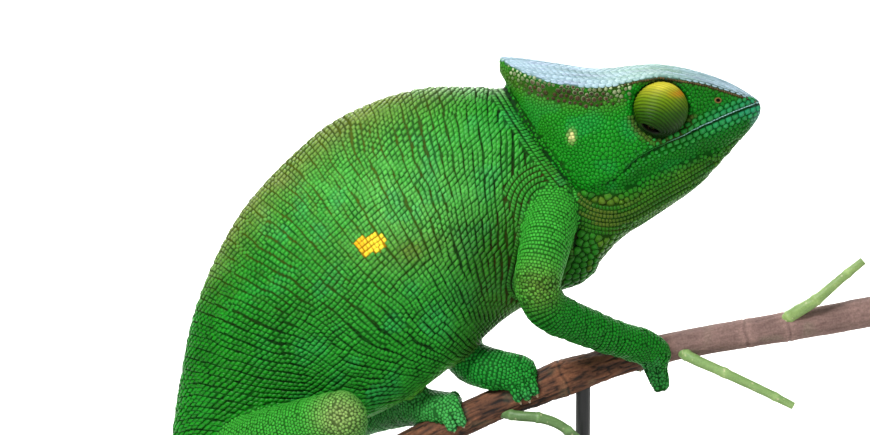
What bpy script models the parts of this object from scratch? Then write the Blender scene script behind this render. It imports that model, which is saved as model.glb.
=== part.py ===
"""Parson's chameleon on a cut branch and a plain stand, a still life-size model.

The animal faces +X, its right side faces -Y, and +Z is up. Lengths below are in millimetres
and are turned into metres when a mesh is made. The origin is the centre of the base's underside.
"""
import math

import bmesh
import bpy
import numpy as np
from mathutils import Matrix, Vector

MM = 0.001
GAP = 0.3

# The stand
BASE_LENGTH = 210.0
BASE_DEPTH = 120.0
BASE_HEIGHT = 12.0
BASE_CORNER = 6.0
BASE_EDGE = 1.2
ROD_RADIUS = 2.6
ROD_FOOT_RADIUS = 7.0
ROD_FOOT_HEIGHT = 2.5
ROD_FOOT_SHOULDER = 1.4
ROD_PLACES = {"stand_rod_rear": -20.0, "stand_rod_front": 47.0}

# The branch: x, z and radius along its middle line
BRANCH = np.array([
    (-63.0, 88.4, 5.6), (-42.5, 100.1, 5.9), (-15.9, 115.0, 5.9), (10.6, 128.3, 5.9),
    (25.0, 134.3, 6.0), (39.9, 140.5, 6.7), (53.0, 144.8, 5.8), (67.0, 149.0, 5.5),
    (88.0, 153.7, 5.3), (116.0, 158.4, 5.4), (147.6, 164.1, 5.6), (162.0, 167.0, 5.5)])

# The trunk, from the neck crease to the root of the tail: x and z on the back, x and z on the
# belly, and half the width
TRUNK = np.array([
    (20.2, 243.1, 46.0, 174.0, 15.0), (8.7, 243.8, 32.0, 169.2, 17.5),
    (-8.0, 243.6, 19.4, 161.9, 19.5), (-24.0, 239.6, 5.0, 148.6, 20.7),
    (-41.8, 231.2, -12.0, 135.3, 21.0), (-57.5, 217.7, -27.0, 127.3, 20.5),
    (-71.7, 202.0, -42.0, 121.8, 19.0), (-82.0, 184.5, -55.0, 116.5, 17.0),
    (-90.5, 163.0, -65.0, 111.0, 14.5), (-95.5, 139.0, -72.0, 105.4, 12.3),
    (-98.8, 117.5, -77.5, 101.0, 10.6), (-100.0, 103.0, -82.0, 97.0, 9.4)])
TRUNK_SPLIT = 4.0
NECK_FRONT = (21.5, 242.2, 51.5, 178.6, 14.4)
NECK_BOW = 11.0

# The skull at stations along x: roof z, casque edge y and z, temple y and z, cheek y and z,
# lip y and z
SKULL = np.array([
    (18.0, 254.4, 3.0, 253.2, 2.9, 251.6, 2.6, 250.2, 1.8, 248.8),
    (20.5, 254.3, 7.0, 251.6, 6.6, 247.8, 6.0, 245.2, 4.5, 242.8),
    (25.0, 254.0, 11.0, 249.6, 10.2, 244.0, 10.0, 239.0, 7.5, 232.8),
    (32.0, 253.0, 14.8, 247.2, 13.8, 240.0, 14.5, 232.0, 11.0, 223.2),
    (41.0, 251.6, 17.3, 245.7, 16.2, 238.0, 17.8, 226.0, 14.0, 213.0),
    (49.0, 250.4, 18.0, 245.0, 16.8, 237.0, 19.0, 223.0, 16.0, 209.6),
    (56.0, 250.5, 17.6, 245.7, 16.8, 238.0, 19.0, 224.0, 17.0, 212.8),
    (64.0, 251.4, 16.8, 247.6, 16.2, 240.0, 18.0, 228.0, 16.8, 219.8),
    (72.0, 251.8, 15.2, 248.4, 14.8, 241.0, 16.4, 230.0, 15.4, 224.3),
    (80.0, 250.8, 13.2, 247.4, 13.0, 241.5, 14.0, 233.0, 13.4, 227.6),
    (88.0, 248.8, 11.0, 245.8, 11.2, 241.5, 11.7, 236.0, 11.2, 231.1),
    (96.0, 246.0, 8.6, 243.2, 9.0, 240.5, 9.4, 237.2, 9.0, 234.3),
    (102.5, 242.6, 6.0, 240.9, 6.6, 239.4, 6.9, 237.9, 6.6, 236.6),
    (106.6, 239.8, 3.6, 239.2, 3.9, 238.8, 4.0, 238.3, 3.8, 237.8),
    (108.0, 239.0, 1.2, 238.8, 1.3, 238.6, 1.4, 238.3, 1.2, 238.1)])

# The lower jaw and the throat pouch at stations along x: lower z and half the width
JAW = np.array([
    (54.0, 206.8, 15.4), (60.0, 207.4, 17.0), (68.0, 210.8, 15.8), (76.0, 213.6, 14.2),
    (86.0, 217.5, 11.7), (95.0, 221.2, 9.2), (102.0, 225.6, 6.6), (106.3, 230.6, 4.2),
    (108.4, 234.2, 1.9)])
THROAT = np.array([
    (48.5, 176.6, 13.8), (54.0, 183.6, 14.4), (60.0, 190.2, 14.4), (68.3, 195.7, 13.0),
    (77.7, 202.0, 11.2), (84.4, 206.5, 9.4), (91.4, 213.2, 7.2), (95.4, 217.6, 5.4),
    (99.4, 221.6, 3.0)])
THROAT_TOP = 210.5
THROAT_LAP = 3.0

# The eye turrets
TURRET_CENTRE = (72.2, 13.4, 237.1)
TURRET_RADIUS = 9.6
RIGHT_GAZE = (-0.41, -0.60, -0.69)
LEFT_GAZE = (0.40, 0.90, 0.10)
SOCKET_CLEARANCE = 0.15
APERTURE_RADIUS = 2.7
PIT_DEPTH = 2.9
EYEBALL_RADIUS = 2.3
EYEBALL_THICKNESS = 2.2
EYEBALL_SINK = 1.35
NOSTRIL = (92.4, 10.2, 239.9)
NOSTRIL_RADIUS = 1.0

# The tail: a hanging stretch, then a flat spiral
TAIL_DROP = np.array([(-91.0, 100.0), (-93.4, 86.0), (-94.9, 72.0), (-95.0, 58.0)])
SPIRAL_CENTRE = (-70.0, 58.0)
SPIRAL_RADIUS = 25.0
SPIRAL_END_RADIUS = 5.5
SPIRAL_TURNS = 1.5
TAIL_RADII = (9.3, 7.3, 1.3)
SPIRAL_PIECES = 5

# The legs: x, y, z and radius from the body outwards
ARM_RIGHT = np.array([
    (36.0, -6.0, 207.0, 8.5), (34.9, -15.0, 199.0, 9.2), (32.0, -24.0, 189.4, 9.0),
    (29.4, -30.5, 179.5, 8.2)])
FOREARM_RIGHT = np.array([
    (29.4, -30.5, 178.0, 8.0), (34.0, -28.0, 169.5, 7.8), (46.0, -22.0, 163.0, 7.2),
    (58.0, -16.2, 157.4, 6.7), (67.0, -11.8, 154.0, 6.5), (71.8, -9.6, 150.8, 5.9)])
ARM_LEFT = np.array([
    (36.0, 6.0, 203.0, 8.5), (30.0, 15.0, 195.0, 9.0), (19.0, 23.5, 187.0, 8.6),
    (8.5, 29.0, 180.5, 7.9)])
FOREARM_LEFT = np.array([
    (8.0, 29.0, 179.0, 7.7), (4.8, 27.0, 170.0, 7.8), (3.6, 18.5, 157.0, 7.8),
    (5.5, 8.6, 146.6, 7.9), (14.5, -0.4, 143.8, 7.7), (24.6, -2.6, 142.9, 6.6)])
THIGH_RIGHT = np.array([
    (-78.0, -6.0, 117.0, 8.6), (-67.0, -17.0, 122.5, 9.2), (-52.0, -28.5, 129.5, 9.0),
    (-37.5, -36.5, 135.0, 8.6)])
SHANK_RIGHT = np.array([
    (-36.0, -37.0, 133.5, 8.4), (-37.0, -32.5, 124.0, 7.6), (-41.0, -21.5, 114.0, 6.8),
    (-44.5, -9.5, 107.6, 6.0), (-43.0, -1.5, 107.4, 4.6)])
THIGH_LEFT = np.array([
    (-78.0, 6.0, 114.0, 8.4), (-68.0, 18.0, 112.5, 8.8), (-55.0, 30.0, 112.0, 8.4),
    (-42.5, 37.0, 113.0, 7.8)])
SHANK_LEFT = np.array([
    (-41.0, 37.5, 114.0, 7.6), (-32.0, 32.5, 119.5, 7.2), (-20.0, 19.0, 125.0, 6.9),
    (-10.5, 6.0, 128.8, 6.8), (-1.6, -1.6, 129.6, 6.2)])

# The grips: for each toe bundle the place along the branch, the side (-1 is the right), the
# number of toes, the toe radius, the spacing, the angles round the branch at which the toes start
# and end, how far their ends stand off the bark and the share by which they close up
GRIPS = {
    "hand_right": {"outer": (71.4, -1, 2, 3.3, 4.6, 66.0, 146.0, 5.2, 0.5),
                   "inner": (66.0, 1, 3, 1.9, 3.4, -35.0, 140.0, 1.0, 0.25)},
    "hand_left": {"inner": (27.2, -1, 3, 2.1, 3.7, 8.0, 93.0, 0.0, 0.1),
                  "outer": (26.0, 1, 2, 2.6, 4.6, 8.0, 125.0, 0.6, 0.25)},
    "foot_right": {"outer": (-43.5, -1, 3, 2.5, 4.4, 8.0, 135.0, 0.8, 0.25),
                   "inner": (-43.5, 1, 2, 2.8, 4.8, 8.0, 130.0, 0.8, 0.25)},
    "foot_left": {"inner": (1.9, -1, 2, 2.6, 4.3, 8.0, 88.0, 0.0, 0.1),
                  "outer": (0.6, 1, 3, 2.4, 4.2, 8.0, 125.0, 0.6, 0.25)}}
# The bundle that the palm or sole belongs to, and the station of the limb where it starts
PALMS = {"hand_right": ("outer", 3.35), "hand_left": ("inner", 3.75),
         "foot_right": ("outer", 2.9), "foot_left": ("inner", 2.9)}
TOE_TAPER = 0.76
CLAW_REACH = 3.5
CLAW_RADIUS = 0.85
CLAW_TIP_RADIUS = 0.3

# The cut side shoots: x, y, z and radius
TWIGS = {
    "twig_green": np.array([(17.0, -2.0, 128.4, 1.7), (24.0, -6.4, 128.2, 1.9),
                            (31.0, -7.6, 127.8, 1.9), (38.5, -7.8, 125.2, 1.8),
                            (47.0, -7.6, 118.4, 1.6)]),
    "twig_right": np.array([(80.0, -2.0, 151.0, 1.9), (85.0, -6.0, 148.6, 2.0),
                            (96.0, -8.6, 144.0, 1.8), (110.0, -10.0, 137.6, 1.6),
                            (120.0, -10.6, 132.6, 1.4)]),
    "twig_upper": np.array([(116.0, -1.0, 160.0, 2.0), (121.0, -4.0, 164.6, 2.3),
                            (128.0, -5.6, 169.4, 2.0), (136.0, -6.4, 176.6, 1.7),
                            (144.0, -6.8, 183.4, 1.5)])}

# Facets
TRUNK_SIDES = 24
LIMB_SIDES = 10
TOE_SIDES = 6
TOE_ROWS = 5
CLAW_SIDES = 5
TAIL_SIDES = 10
TURRET_SIDES = 14


def clear_scene():
    """Removes what the scene starts with."""
    for obj in list(bpy.data.objects):
        bpy.data.objects.remove(obj, do_unlink=True)


def new_collection(name):
    """A collection linked to the scene."""
    collection = bpy.data.collections.new(name)
    bpy.context.scene.collection.children.link(collection)
    return collection


def new_material(name, colour, roughness, metallic=0.0):
    """A Principled material of one colour."""
    material = bpy.data.materials.new(name)
    material.use_nodes = True
    shader = material.node_tree.nodes["Principled BSDF"]
    shader.inputs["Base Color"].default_value = (*colour, 1.0)
    shader.inputs["Roughness"].default_value = roughness
    shader.inputs["Metallic"].default_value = metallic
    return material


def add_part(name, mesh, material):
    """A visible sub-part, shaded smooth with its sharp edges kept."""
    obj = bpy.data.objects.new(name, mesh)
    mesh.materials.append(material)
    mesh.shade_smooth()
    mesh.set_sharp_from_angle(angle=math.radians(50.0))
    PARTS.objects.link(obj)
    return obj


def add_cutter(name, mesh, grow=GAP):
    """A hidden solid, a gap larger all round, that cuts its neighbours clear of a sub-part."""
    obj = bpy.data.objects.new(name, mesh)
    CUTTERS.objects.link(obj)
    obj.hide_render = True
    obj.display_type = "WIRE"
    swell = obj.modifiers.new("clearance", "DISPLACE")
    swell.mid_level = 0.0
    swell.strength = grow * MM
    return obj


def cut(obj, *cutters):
    """Takes each cutter out of a sub-part."""
    for cutter in cutters:
        boolean = obj.modifiers.new("cut_" + cutter.name, "BOOLEAN")
        boolean.operation = "DIFFERENCE"
        boolean.solver = "EXACT"
        boolean.object = cutter


def keep_largest(obj):
    """Makes the cuts final and drops the chips that they leave beside the main body."""
    graph = bpy.context.evaluated_depsgraph_get()
    mesh = bpy.data.meshes.new_from_object(obj.evaluated_get(graph))
    obj.modifiers.clear()
    obj.data = mesh
    shape = bmesh.new()
    shape.from_mesh(mesh)
    bodies = []
    left = set(shape.verts)
    while left:
        body, edge = set(), {left.pop()}
        while edge:
            body |= edge
            edge = {e.other_vert(v) for v in edge for e in v.link_edges} - body
        left -= body
        bodies.append(body)
    largest = max(bodies, key=surface_of)
    bmesh.ops.delete(shape, geom=[v for v in shape.verts if v not in largest], context="VERTS")
    shape.to_mesh(mesh)
    shape.free()


def surface_of(body):
    """Total area of the faces of a set of vertices."""
    return sum(face.calc_area() for face in {f for v in body for f in v.link_faces})


def catmull_rom(rows, at):
    """Values of the smooth curve through the rows at fractional row numbers."""
    at = np.clip(np.asarray(at, float), 0.0, len(rows) - 1.0)
    ends = np.vstack([2 * rows[0] - rows[1], rows, 2 * rows[-1] - rows[-2]])
    first = np.minimum(at.astype(int), len(rows) - 2)
    u = (at - first)[:, None]
    p0, p1, p2, p3 = (ends[first + k] for k in range(4))
    return 0.5 * (2 * p1 + (p2 - p0) * u + (2 * p0 - 5 * p1 + 4 * p2 - p3) * u ** 2
                  + (3 * p1 - p0 - 3 * p2 + p3) * u ** 3)


def loft(name, rings):
    """A closed mesh through rings of points in millimetres, each end closed by a fan."""
    rings = np.asarray(rings, float)
    count, sides = rings.shape[:2]
    points = np.vstack([rings.reshape(-1, 3), rings[0].mean(0), rings[-1].mean(0)])
    start, end = count * sides, count * sides + 1
    faces = []
    for k in range(sides):
        after = (k + 1) % sides
        faces.append((start, after, k))
        faces.append((end, (count - 1) * sides + k, (count - 1) * sides + after))
        for row in range(count - 1):
            here = row * sides
            faces.append((here + k, here + after, here + sides + after, here + sides + k))
    mesh = bpy.data.meshes.new(name)
    mesh.from_pydata((points * MM).tolist(), [], faces)
    outwards(mesh)
    return mesh


def outwards(mesh):
    """Turns all faces of a closed mesh outwards."""
    shape = bmesh.new()
    shape.from_mesh(mesh)
    bmesh.ops.recalc_face_normals(shape, faces=shape.faces)
    shape.to_mesh(mesh)
    shape.free()
    mesh.update()


def trunk_ring(row, bow=0.0):
    """A flat-sided section: keeled along the back, widest a little below the middle."""
    turn = np.linspace(0.0, 2 * math.pi, TRUNK_SIDES, endpoint=False)
    back, belly = np.array(row[:2]), np.array(row[2:4])
    down = (belly - back) / np.linalg.norm(belly - back)
    ahead = np.array([-down[1], down[0]])
    side = np.sin(turn)
    keel = np.where(np.cos(turn) > 0, 1.2, 0.86)
    middle = back + np.outer((1 - np.cos(turn)) / 2, belly - back)
    middle = middle + np.outer(bow * side ** 2, ahead)
    width = row[4] * np.sign(side) * np.abs(side) ** keel * (1 - 0.06 * np.cos(turn))
    return np.column_stack([middle[:, 0], width, middle[:, 1]])


def trunk_rings(first, last, count):
    """Trunk sections between two fractional stations."""
    return [trunk_ring(row) for row in catmull_rom(TRUNK, np.linspace(first, last, count))]


def station_gap(station):
    """How much of a station spacing makes one gap at its widest."""
    here, after = catmull_rom(TRUNK, [station, station + 0.1])
    return GAP * 0.1 / np.linalg.norm(after[:2] - here[:2])


def make_trunk(skin):
    """Chest and belly, and the whole trunk as a cutter for the legs."""
    gap = station_gap(TRUNK_SPLIT)
    last = len(TRUNK) - 1.0
    chest = loft("chest", trunk_rings(0.0, TRUNK_SPLIT - gap / 2, 9))
    belly = loft("belly", trunk_rings(TRUNK_SPLIT + gap / 2, last, 12))
    add_part("chest", chest, skin)
    add_part("belly", belly, skin)
    return add_cutter("trunk_clearance", loft("trunk_clearance", trunk_rings(0.0, last, 22)))


def neck_rings(rear):
    """Sections from the trunk's front end to the back of the head, bowed forwards."""
    start = catmull_rom(TRUNK, [rear])[0]
    rings = []
    for share in np.linspace(0.0, 1.0, 4):
        row = start + (np.array(NECK_FRONT) - start) * share
        rings.append(trunk_ring(row, NECK_BOW * share))
    return rings


def make_neck(skin, head_cutters, trunk_cutter):
    """The short neck behind the head, and its cutter."""
    neck = add_part("neck", loft("neck", neck_rings(0.0)), skin)
    cut(neck, *head_cutters, trunk_cutter)
    return add_cutter("neck_clearance", loft("neck_clearance", neck_rings(0.3)))


def skull_ring(row):
    """A section of the skull: a low roof, the casque's edge, the temple, the cheek, the lip."""
    x, roof, edge_y, edge_z, temple_y, temple_z, cheek_y, cheek_z, lip_y, lip_z = row
    half = [
        (0.0, roof), (0.5 * edge_y, roof - 0.36 * (roof - edge_z)),
        (0.86 * edge_y, roof - 0.78 * (roof - edge_z)), (edge_y, edge_z),
        (0.6 * edge_y + 0.4 * temple_y - 0.02 * edge_y, 0.6 * edge_z + 0.4 * temple_z),
        (temple_y, temple_z),
        (0.5 * (temple_y + cheek_y) + 0.02 * cheek_y, 0.5 * (temple_z + cheek_z)),
        (cheek_y, cheek_z), (0.45 * cheek_y + 0.55 * lip_y + 0.4, 0.5 * (cheek_z + lip_z)),
        (lip_y, lip_z), (0.55 * lip_y, lip_z), (0.0, lip_z)]
    half = np.array(half)
    other = half[-2:0:-1] * (-1, 1)
    ring = np.vstack([half, other])
    return np.column_stack([np.full(len(ring), x), ring])


def lip_height(x):
    """Height of the upper lip at a place along x."""
    return np.interp(x, SKULL[:, 0], SKULL[:, 9])


def jaw_ring(x, low, half_width, top):
    """A U-shaped section with a flat top."""
    turn = np.linspace(0.0, math.pi, 9)
    bowl_y = half_width * np.cos(turn)
    bowl_z = top - (top - low) * np.sin(turn) ** 0.75
    lid_y = half_width * np.array([-0.5, 0.0, 0.5])
    y = np.concatenate([bowl_y, lid_y])
    z = np.concatenate([bowl_z, np.full(3, top)])
    return np.column_stack([np.full(len(y), x), y, z])


def under_head_rings(rows, top_of, count):
    """Sections of the jaw or the throat, between the height top_of(x) and the rows' lower z."""
    dense = catmull_rom(rows, np.linspace(0.0, len(rows) - 1.0, count))
    return [jaw_ring(x, low, width, max(top_of(x), low + 0.4)) for x, low, width in dense]


def jaw_low(x):
    """Height of the jaw's lower edge at a place along x."""
    return np.interp(x, JAW[:, 0], JAW[:, 1])


def turret_mesh(name, gaze, side):
    """A ball with a round pit where it looks, turned about the line of sight."""
    rim = math.asin(APERTURE_RADIUS / TURRET_RADIUS)
    angles = np.linspace(math.radians(8.0), math.pi - rim, 8)
    profile = [(-TURRET_RADIUS * math.cos(a), TURRET_RADIUS * math.sin(a)) for a in angles]
    front = profile[-1][0]
    profile += [(front - 0.17 * PIT_DEPTH, APERTURE_RADIUS - 0.1),
                (front - 0.59 * PIT_DEPTH, APERTURE_RADIUS + 0.1),
                (front - PIT_DEPTH, APERTURE_RADIUS - 0.5)]
    return turned(name, profile, turret_place(gaze, side), TURRET_SIDES)


def eyeball_mesh(name, gaze, side):
    """The small ball in the turret's pit."""
    front = TURRET_RADIUS * math.cos(math.asin(APERTURE_RADIUS / TURRET_RADIUS))
    middle = front - EYEBALL_SINK
    angles = np.linspace(math.radians(20.0), math.radians(160.0), 6)
    profile = [(middle - EYEBALL_THICKNESS / 2 * math.cos(a), EYEBALL_RADIUS * math.sin(a))
               for a in angles]
    return turned(name, profile, turret_place(gaze, side), 10)


def turret_place(gaze, side):
    """The matrix that puts +Z on the line of sight and the origin in the turret's middle."""
    centre = Vector((TURRET_CENTRE[0], side * TURRET_CENTRE[1], TURRET_CENTRE[2]))
    turn = Vector((0.0, 0.0, 1.0)).rotation_difference(Vector(gaze).normalized())
    return Matrix.Translation(centre) @ turn.to_matrix().to_4x4()


def turned(name, profile, place, sides):
    """A solid turned about Z through (z, radius) points, closed by fans, then placed."""
    turn = np.linspace(0.0, 2 * math.pi, sides, endpoint=False)
    place = np.array(place)
    rings = []
    for z, radius in profile:
        ring = np.column_stack([radius * np.cos(turn), radius * np.sin(turn), np.full(sides, z)])
        rings.append(ring @ place[:3, :3].T + place[:3, 3])
    return loft(name, rings)


def ball_mesh(name, centre, radius, sides):
    """A plain round ball."""
    angles = np.linspace(math.radians(12.0), math.radians(168.0), sides // 2)
    profile = [(-radius * math.cos(a), radius * math.sin(a)) for a in angles]
    return turned(name, profile, Matrix.Translation(Vector(centre)), sides)


def make_eyes(lid, eye):
    """Both turrets with their eyeballs, and the cutters for their sockets."""
    sockets = []
    for label, side, gaze in (("right", -1, RIGHT_GAZE), ("left", 1, LEFT_GAZE)):
        add_part("eye_turret_" + label, turret_mesh("turret_" + label, gaze, side), lid)
        add_part("eyeball_" + label, eyeball_mesh("eyeball_" + label, gaze, side), eye)
        centre = (TURRET_CENTRE[0], side * TURRET_CENTRE[1], TURRET_CENTRE[2])
        socket = ball_mesh("socket", centre, TURRET_RADIUS + SOCKET_CLEARANCE, TURRET_SIDES)
        sockets.append(add_cutter("socket_" + label, socket))
    return sockets


def make_head(skin, sockets):
    """Skull, lower jaw and throat pouch. Returns the cutters for the neck."""
    rows = catmull_rom(SKULL, np.linspace(0.0, len(SKULL) - 1.0, 18))
    rings = [skull_ring(row) for row in rows]
    head = add_part("head", loft("head", rings), skin)
    nostrils = [
        add_cutter("nostril_" + label, ball_mesh(
            "nostril", (NOSTRIL[0], side * NOSTRIL[1], NOSTRIL[2]), NOSTRIL_RADIUS - GAP, 8))
        for label, side in (("right", -1), ("left", 1))]
    cut(head, *sockets, *nostrils)
    head_cutter = add_cutter("head_clearance", loft("head_clearance", rings))
    jaw_rings = under_head_rings(JAW, lambda x: lip_height(x) - GAP, 11)
    jaw = add_part("lower_jaw", loft("lower_jaw", jaw_rings), skin)
    cut(jaw, head_cutter)
    jaw_cutter = add_cutter("jaw_clearance", loft("jaw_clearance", jaw_rings))
    throat_rings = under_head_rings(
        THROAT, lambda x: max(jaw_low(x) + THROAT_LAP, THROAT_TOP), 10)
    throat = add_part("throat", loft("throat", throat_rings), skin)
    cut(throat, jaw_cutter, head_cutter)
    throat_cutter = add_cutter("throat_clearance", loft("throat_clearance", throat_rings))
    return head_cutter, jaw_cutter, throat_cutter


def tube_rings(rows, count, sides, round_start=False, round_end=False, span=None):
    """Round sections along the smooth curve through rows of x, y, z and radius.

    The span is the first and last station of the rows, and without one the tube runs all along.
    """
    first, last = span or (0.0, len(rows) - 1.0)
    at = np.linspace(first, last, count)
    dense = catmull_rom(rows, at)
    path, radii = dense[:, :3], dense[:, 3]
    direction = (catmull_rom(rows, at + 0.02) - catmull_rom(rows, at - 0.02))[:, :3]
    direction = direction / np.linalg.norm(direction, axis=1)[:, None]
    if round_end:
        path, radii, direction = rounded(path, radii, direction, -1)
    if round_start:
        path, radii, direction = rounded(path, radii, direction, 0)
    turn = np.linspace(0.0, 2 * math.pi, sides, endpoint=False)
    across = np.cross(direction[0], (0.31, 0.95, 0.05))
    rings = []
    for centre, radius, ahead in zip(path, radii, direction):
        across = across - ahead * np.dot(across, ahead)
        across = across / np.linalg.norm(across)
        other = np.cross(ahead, across)
        rings.append(centre + radius * (np.outer(np.cos(turn), across)
                                        + np.outer(np.sin(turn), other)))
    return rings


def rounded(path, radii, direction, end):
    """Adds two smaller sections that round off one end of a path."""
    sign = 1.0 if end == -1 else -1.0
    extra = [(path[end] + sign * direction[end] * radii[end] * reach, radii[end] * size)
             for reach, size in ((0.55, 0.8), (0.85, 0.38))]
    if end == 0:
        extra = extra[::-1]
    points = np.array([e[0] for e in extra])
    sizes = np.array([e[1] for e in extra])
    ahead = np.repeat(direction[end][None], 2, axis=0)
    if end == -1:
        return np.vstack([path, points]), np.append(radii, sizes), np.vstack([direction, ahead])
    return (np.vstack([points, path]), np.append(sizes, radii), np.vstack([ahead, direction]))


def make_limb(names, upper, lower, grip, skin, body_cutters):
    """An upper and a lower leg: the upper is cut by the body and the lower by the upper.

    Returns the lower leg's cutter, and the mesh of the palm or sole that carries on from it.
    """
    wrist = PALMS[grip][1]
    end = len(lower) - 1.0
    station = catmull_rom(lower, [wrist, wrist + 0.1])[:, :3]
    gap = GAP * 0.1 / np.linalg.norm(station[1] - station[0])
    upper_rings = tube_rings(upper, 6, LIMB_SIDES, round_end=True)
    lower_rings = tube_rings(lower, 7, LIMB_SIDES, round_start=True, span=(0.0, wrist))
    palm_rings = tube_rings(lower, 4, LIMB_SIDES, round_end=True, span=(wrist + gap, end))
    upper_part = add_part(names[0], loft(names[0], upper_rings), skin)
    cut(upper_part, *body_cutters)
    upper_cutter = add_cutter(names[0] + "_clearance", loft(names[0], upper_rings))
    lower_part = add_part(names[1], loft(names[1], lower_rings), skin)
    cut(lower_part, upper_cutter, BRANCH_CUTTER, TRUNK_CUTTER)
    keep_largest(upper_part)
    keep_largest(lower_part)
    return add_cutter(names[1] + "_clearance", loft(names[1], lower_rings)), palm_rings


def branch_at(x):
    """Centre, direction and radius of the branch at a place along x."""
    station = np.interp(x, BRANCH[:, 0], np.arange(len(BRANCH)))
    before, here, after = catmull_rom(BRANCH, [station - 0.05, station, station + 0.05])
    direction = np.array([after[0] - before[0], 0.0, after[1] - before[1]])
    centre = np.array([here[0], 0.0, here[1]])
    return centre, direction / np.linalg.norm(direction), here[2]


def round_branch(place, side, angles, distances, offsets):
    """Points around the branch, at angles from its top towards one side."""
    centre, ahead, _ = branch_at(place)
    up = np.array([-ahead[2], 0.0, ahead[0]])
    out = np.array([0.0, float(side), 0.0])
    angles = np.radians(angles)
    return (centre + np.outer(offsets, ahead)
            + distances[:, None] * (np.outer(np.cos(angles), up) + np.outer(np.sin(angles), out)))


def make_bundle(name, layout, skin, horn, palm, cutters):
    """A bundle of toes closed round one side of the branch, each with its claw.

    The palm's sections, where there are any, are joined with the toes.
    """
    place, side, count, radius, spacing, start, reach, stand_off, closing = layout
    branch_radius = branch_at(place)[2]
    solids = [] if palm is None else [loft(name + "_palm", palm)]
    claws = []
    for number in range(count):
        offset = (number - (count - 1) / 2) * spacing
        end = reach - 7.0 * abs(number - (count - 1) / 2)
        share = np.linspace(0.0, 1.0, TOE_ROWS)
        angles = start + (end - start) * share
        radii = radius * (1.0 + (TOE_TAPER - 1.0) * share)
        distances = branch_radius + radii + 1.5 * GAP + stand_off * share ** 2
        offsets = offset * (1.0 - closing * share)
        path = round_branch(place, side, angles, distances, offsets)
        rows = np.column_stack([path, radii])
        rings = tube_rings(rows, TOE_ROWS, TOE_SIDES, round_end=True)
        solids.append(loft("{}_toe_{}".format(name, number + 1), rings))
        claws.append(make_claw("claw_{}_{}".format(name, number + 1), place, side, end,
                               radii[-1], offsets[-1], stand_off, horn))
    bundle = add_part(name, solids[0], skin)
    for solid in solids[1:]:
        join = bundle.modifiers.new("join", "BOOLEAN")
        join.operation = "UNION"
        join.solver = "EXACT"
        join.object = add_cutter(solid.name, solid, grow=0.0)
    cut(bundle, *cutters, BRANCH_CUTTER, *claws)
    keep_largest(bundle)


def make_claw(name, place, side, toe_end, toe_radius, offset, stand_off, horn):
    """A short claw, rooted in a toe's end and bent down to the bark. Returns its cutter."""
    branch_radius = branch_at(place)[2]
    ring = branch_radius + toe_radius + stand_off
    start = toe_end + math.degrees(0.3 * toe_radius / ring)
    angles = np.linspace(start, start + math.degrees(CLAW_REACH / ring), 4)
    radii = np.linspace(CLAW_RADIUS, CLAW_TIP_RADIUS, 4)
    tip = branch_radius + CLAW_TIP_RADIUS + 1.5 * GAP + 0.6 * stand_off
    distances = np.linspace(ring + 0.2, tip, 4)
    points = round_branch(place, side, angles, distances, np.full(4, offset))
    rings = tube_rings(np.column_stack([points, radii]), 4, CLAW_SIDES)
    add_part(name, loft(name, rings), horn)
    return add_cutter(name + "_clearance", loft(name, rings))


def make_grips(skin, horn, limbs):
    """The four hands and feet, each of two opposed bundles, one of them with the palm."""
    for grip, bundles in GRIPS.items():
        limb, side_name = grip.split("_")
        limb_cutter, palm = limbs[grip]
        palm_cutter = add_cutter(grip + "_palm_clearance", loft(grip + "_palm", palm))
        for bundle, layout in bundles.items():
            name = "{}_{}_{}".format(limb, bundle, side_name)
            if bundle == PALMS[grip][0]:
                make_bundle(name, layout, skin, horn, palm, [limb_cutter])
            else:
                make_bundle(name, layout, skin, horn, None, [limb_cutter, palm_cutter])


def make_tail(skin):
    """The hanging root, then the spiral in short lengths."""
    drop = tail_rows(TAIL_DROP, TAIL_RADII[0], TAIL_RADII[1])
    rings = tube_rings(drop, 6, TAIL_SIDES)
    root = add_part("tail_1", loft("tail_1", rings), skin)
    cut(root, TRUNK_CUTTER)
    total = 2 * math.pi * SPIRAL_TURNS
    piece = total / SPIRAL_PIECES
    for number in range(SPIRAL_PIECES):
        gap = GAP / spiral_radius(number * piece)
        last = number == SPIRAL_PIECES - 1
        turn = np.linspace(number * piece + gap, (number + 1) * piece, 8)
        step = turn[1] - turn[0]
        rows = spiral_rows(np.concatenate([[turn[0] - step], turn, [turn[-1] + step]]))
        name = "tail_{}".format(number + 2)
        rings = tube_rings(rows, 8, TAIL_SIDES, round_end=last, span=(1.0, len(rows) - 2.0))
        add_part(name, loft(name, rings), skin)
        if number == 0:
            cut(root, add_cutter("spiral_clearance", loft("spiral_clearance", rings)))


def tail_rows(points, start_radius, end_radius):
    """Rows of x, y, z and radius for points of x and z."""
    radii = np.linspace(start_radius, end_radius, len(points))
    return np.column_stack([points[:, 0], np.zeros(len(points)), points[:, 1], radii])


def spiral_radius(turn):
    """The spiral's own radius after a turn in radians."""
    share = np.asarray(turn) / (2 * math.pi * SPIRAL_TURNS)
    return SPIRAL_RADIUS + (SPIRAL_END_RADIUS - SPIRAL_RADIUS) * share


def spiral_rows(turn):
    """Rows of the coil: it starts at the left, passes under and comes up in front."""
    radius = spiral_radius(turn)
    x = SPIRAL_CENTRE[0] - radius * np.cos(turn)
    z = SPIRAL_CENTRE[1] - radius * np.sin(turn)
    share = turn / (2 * math.pi * SPIRAL_TURNS)
    thick = TAIL_RADII[1] + (TAIL_RADII[2] - TAIL_RADII[1]) * share
    return np.column_stack([x, np.zeros_like(x), z, thick])


def make_branch(bark):
    """The cut branch, and its cutter."""
    rows = np.column_stack([BRANCH[:, 0], np.zeros(len(BRANCH)), BRANCH[:, 1], BRANCH[:, 2]])
    rings = tube_rings(rows, 15, 10)
    add_part("perch_branch", loft("perch_branch", rings), bark)
    return add_cutter("branch_clearance", loft("branch_clearance", rings))


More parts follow.
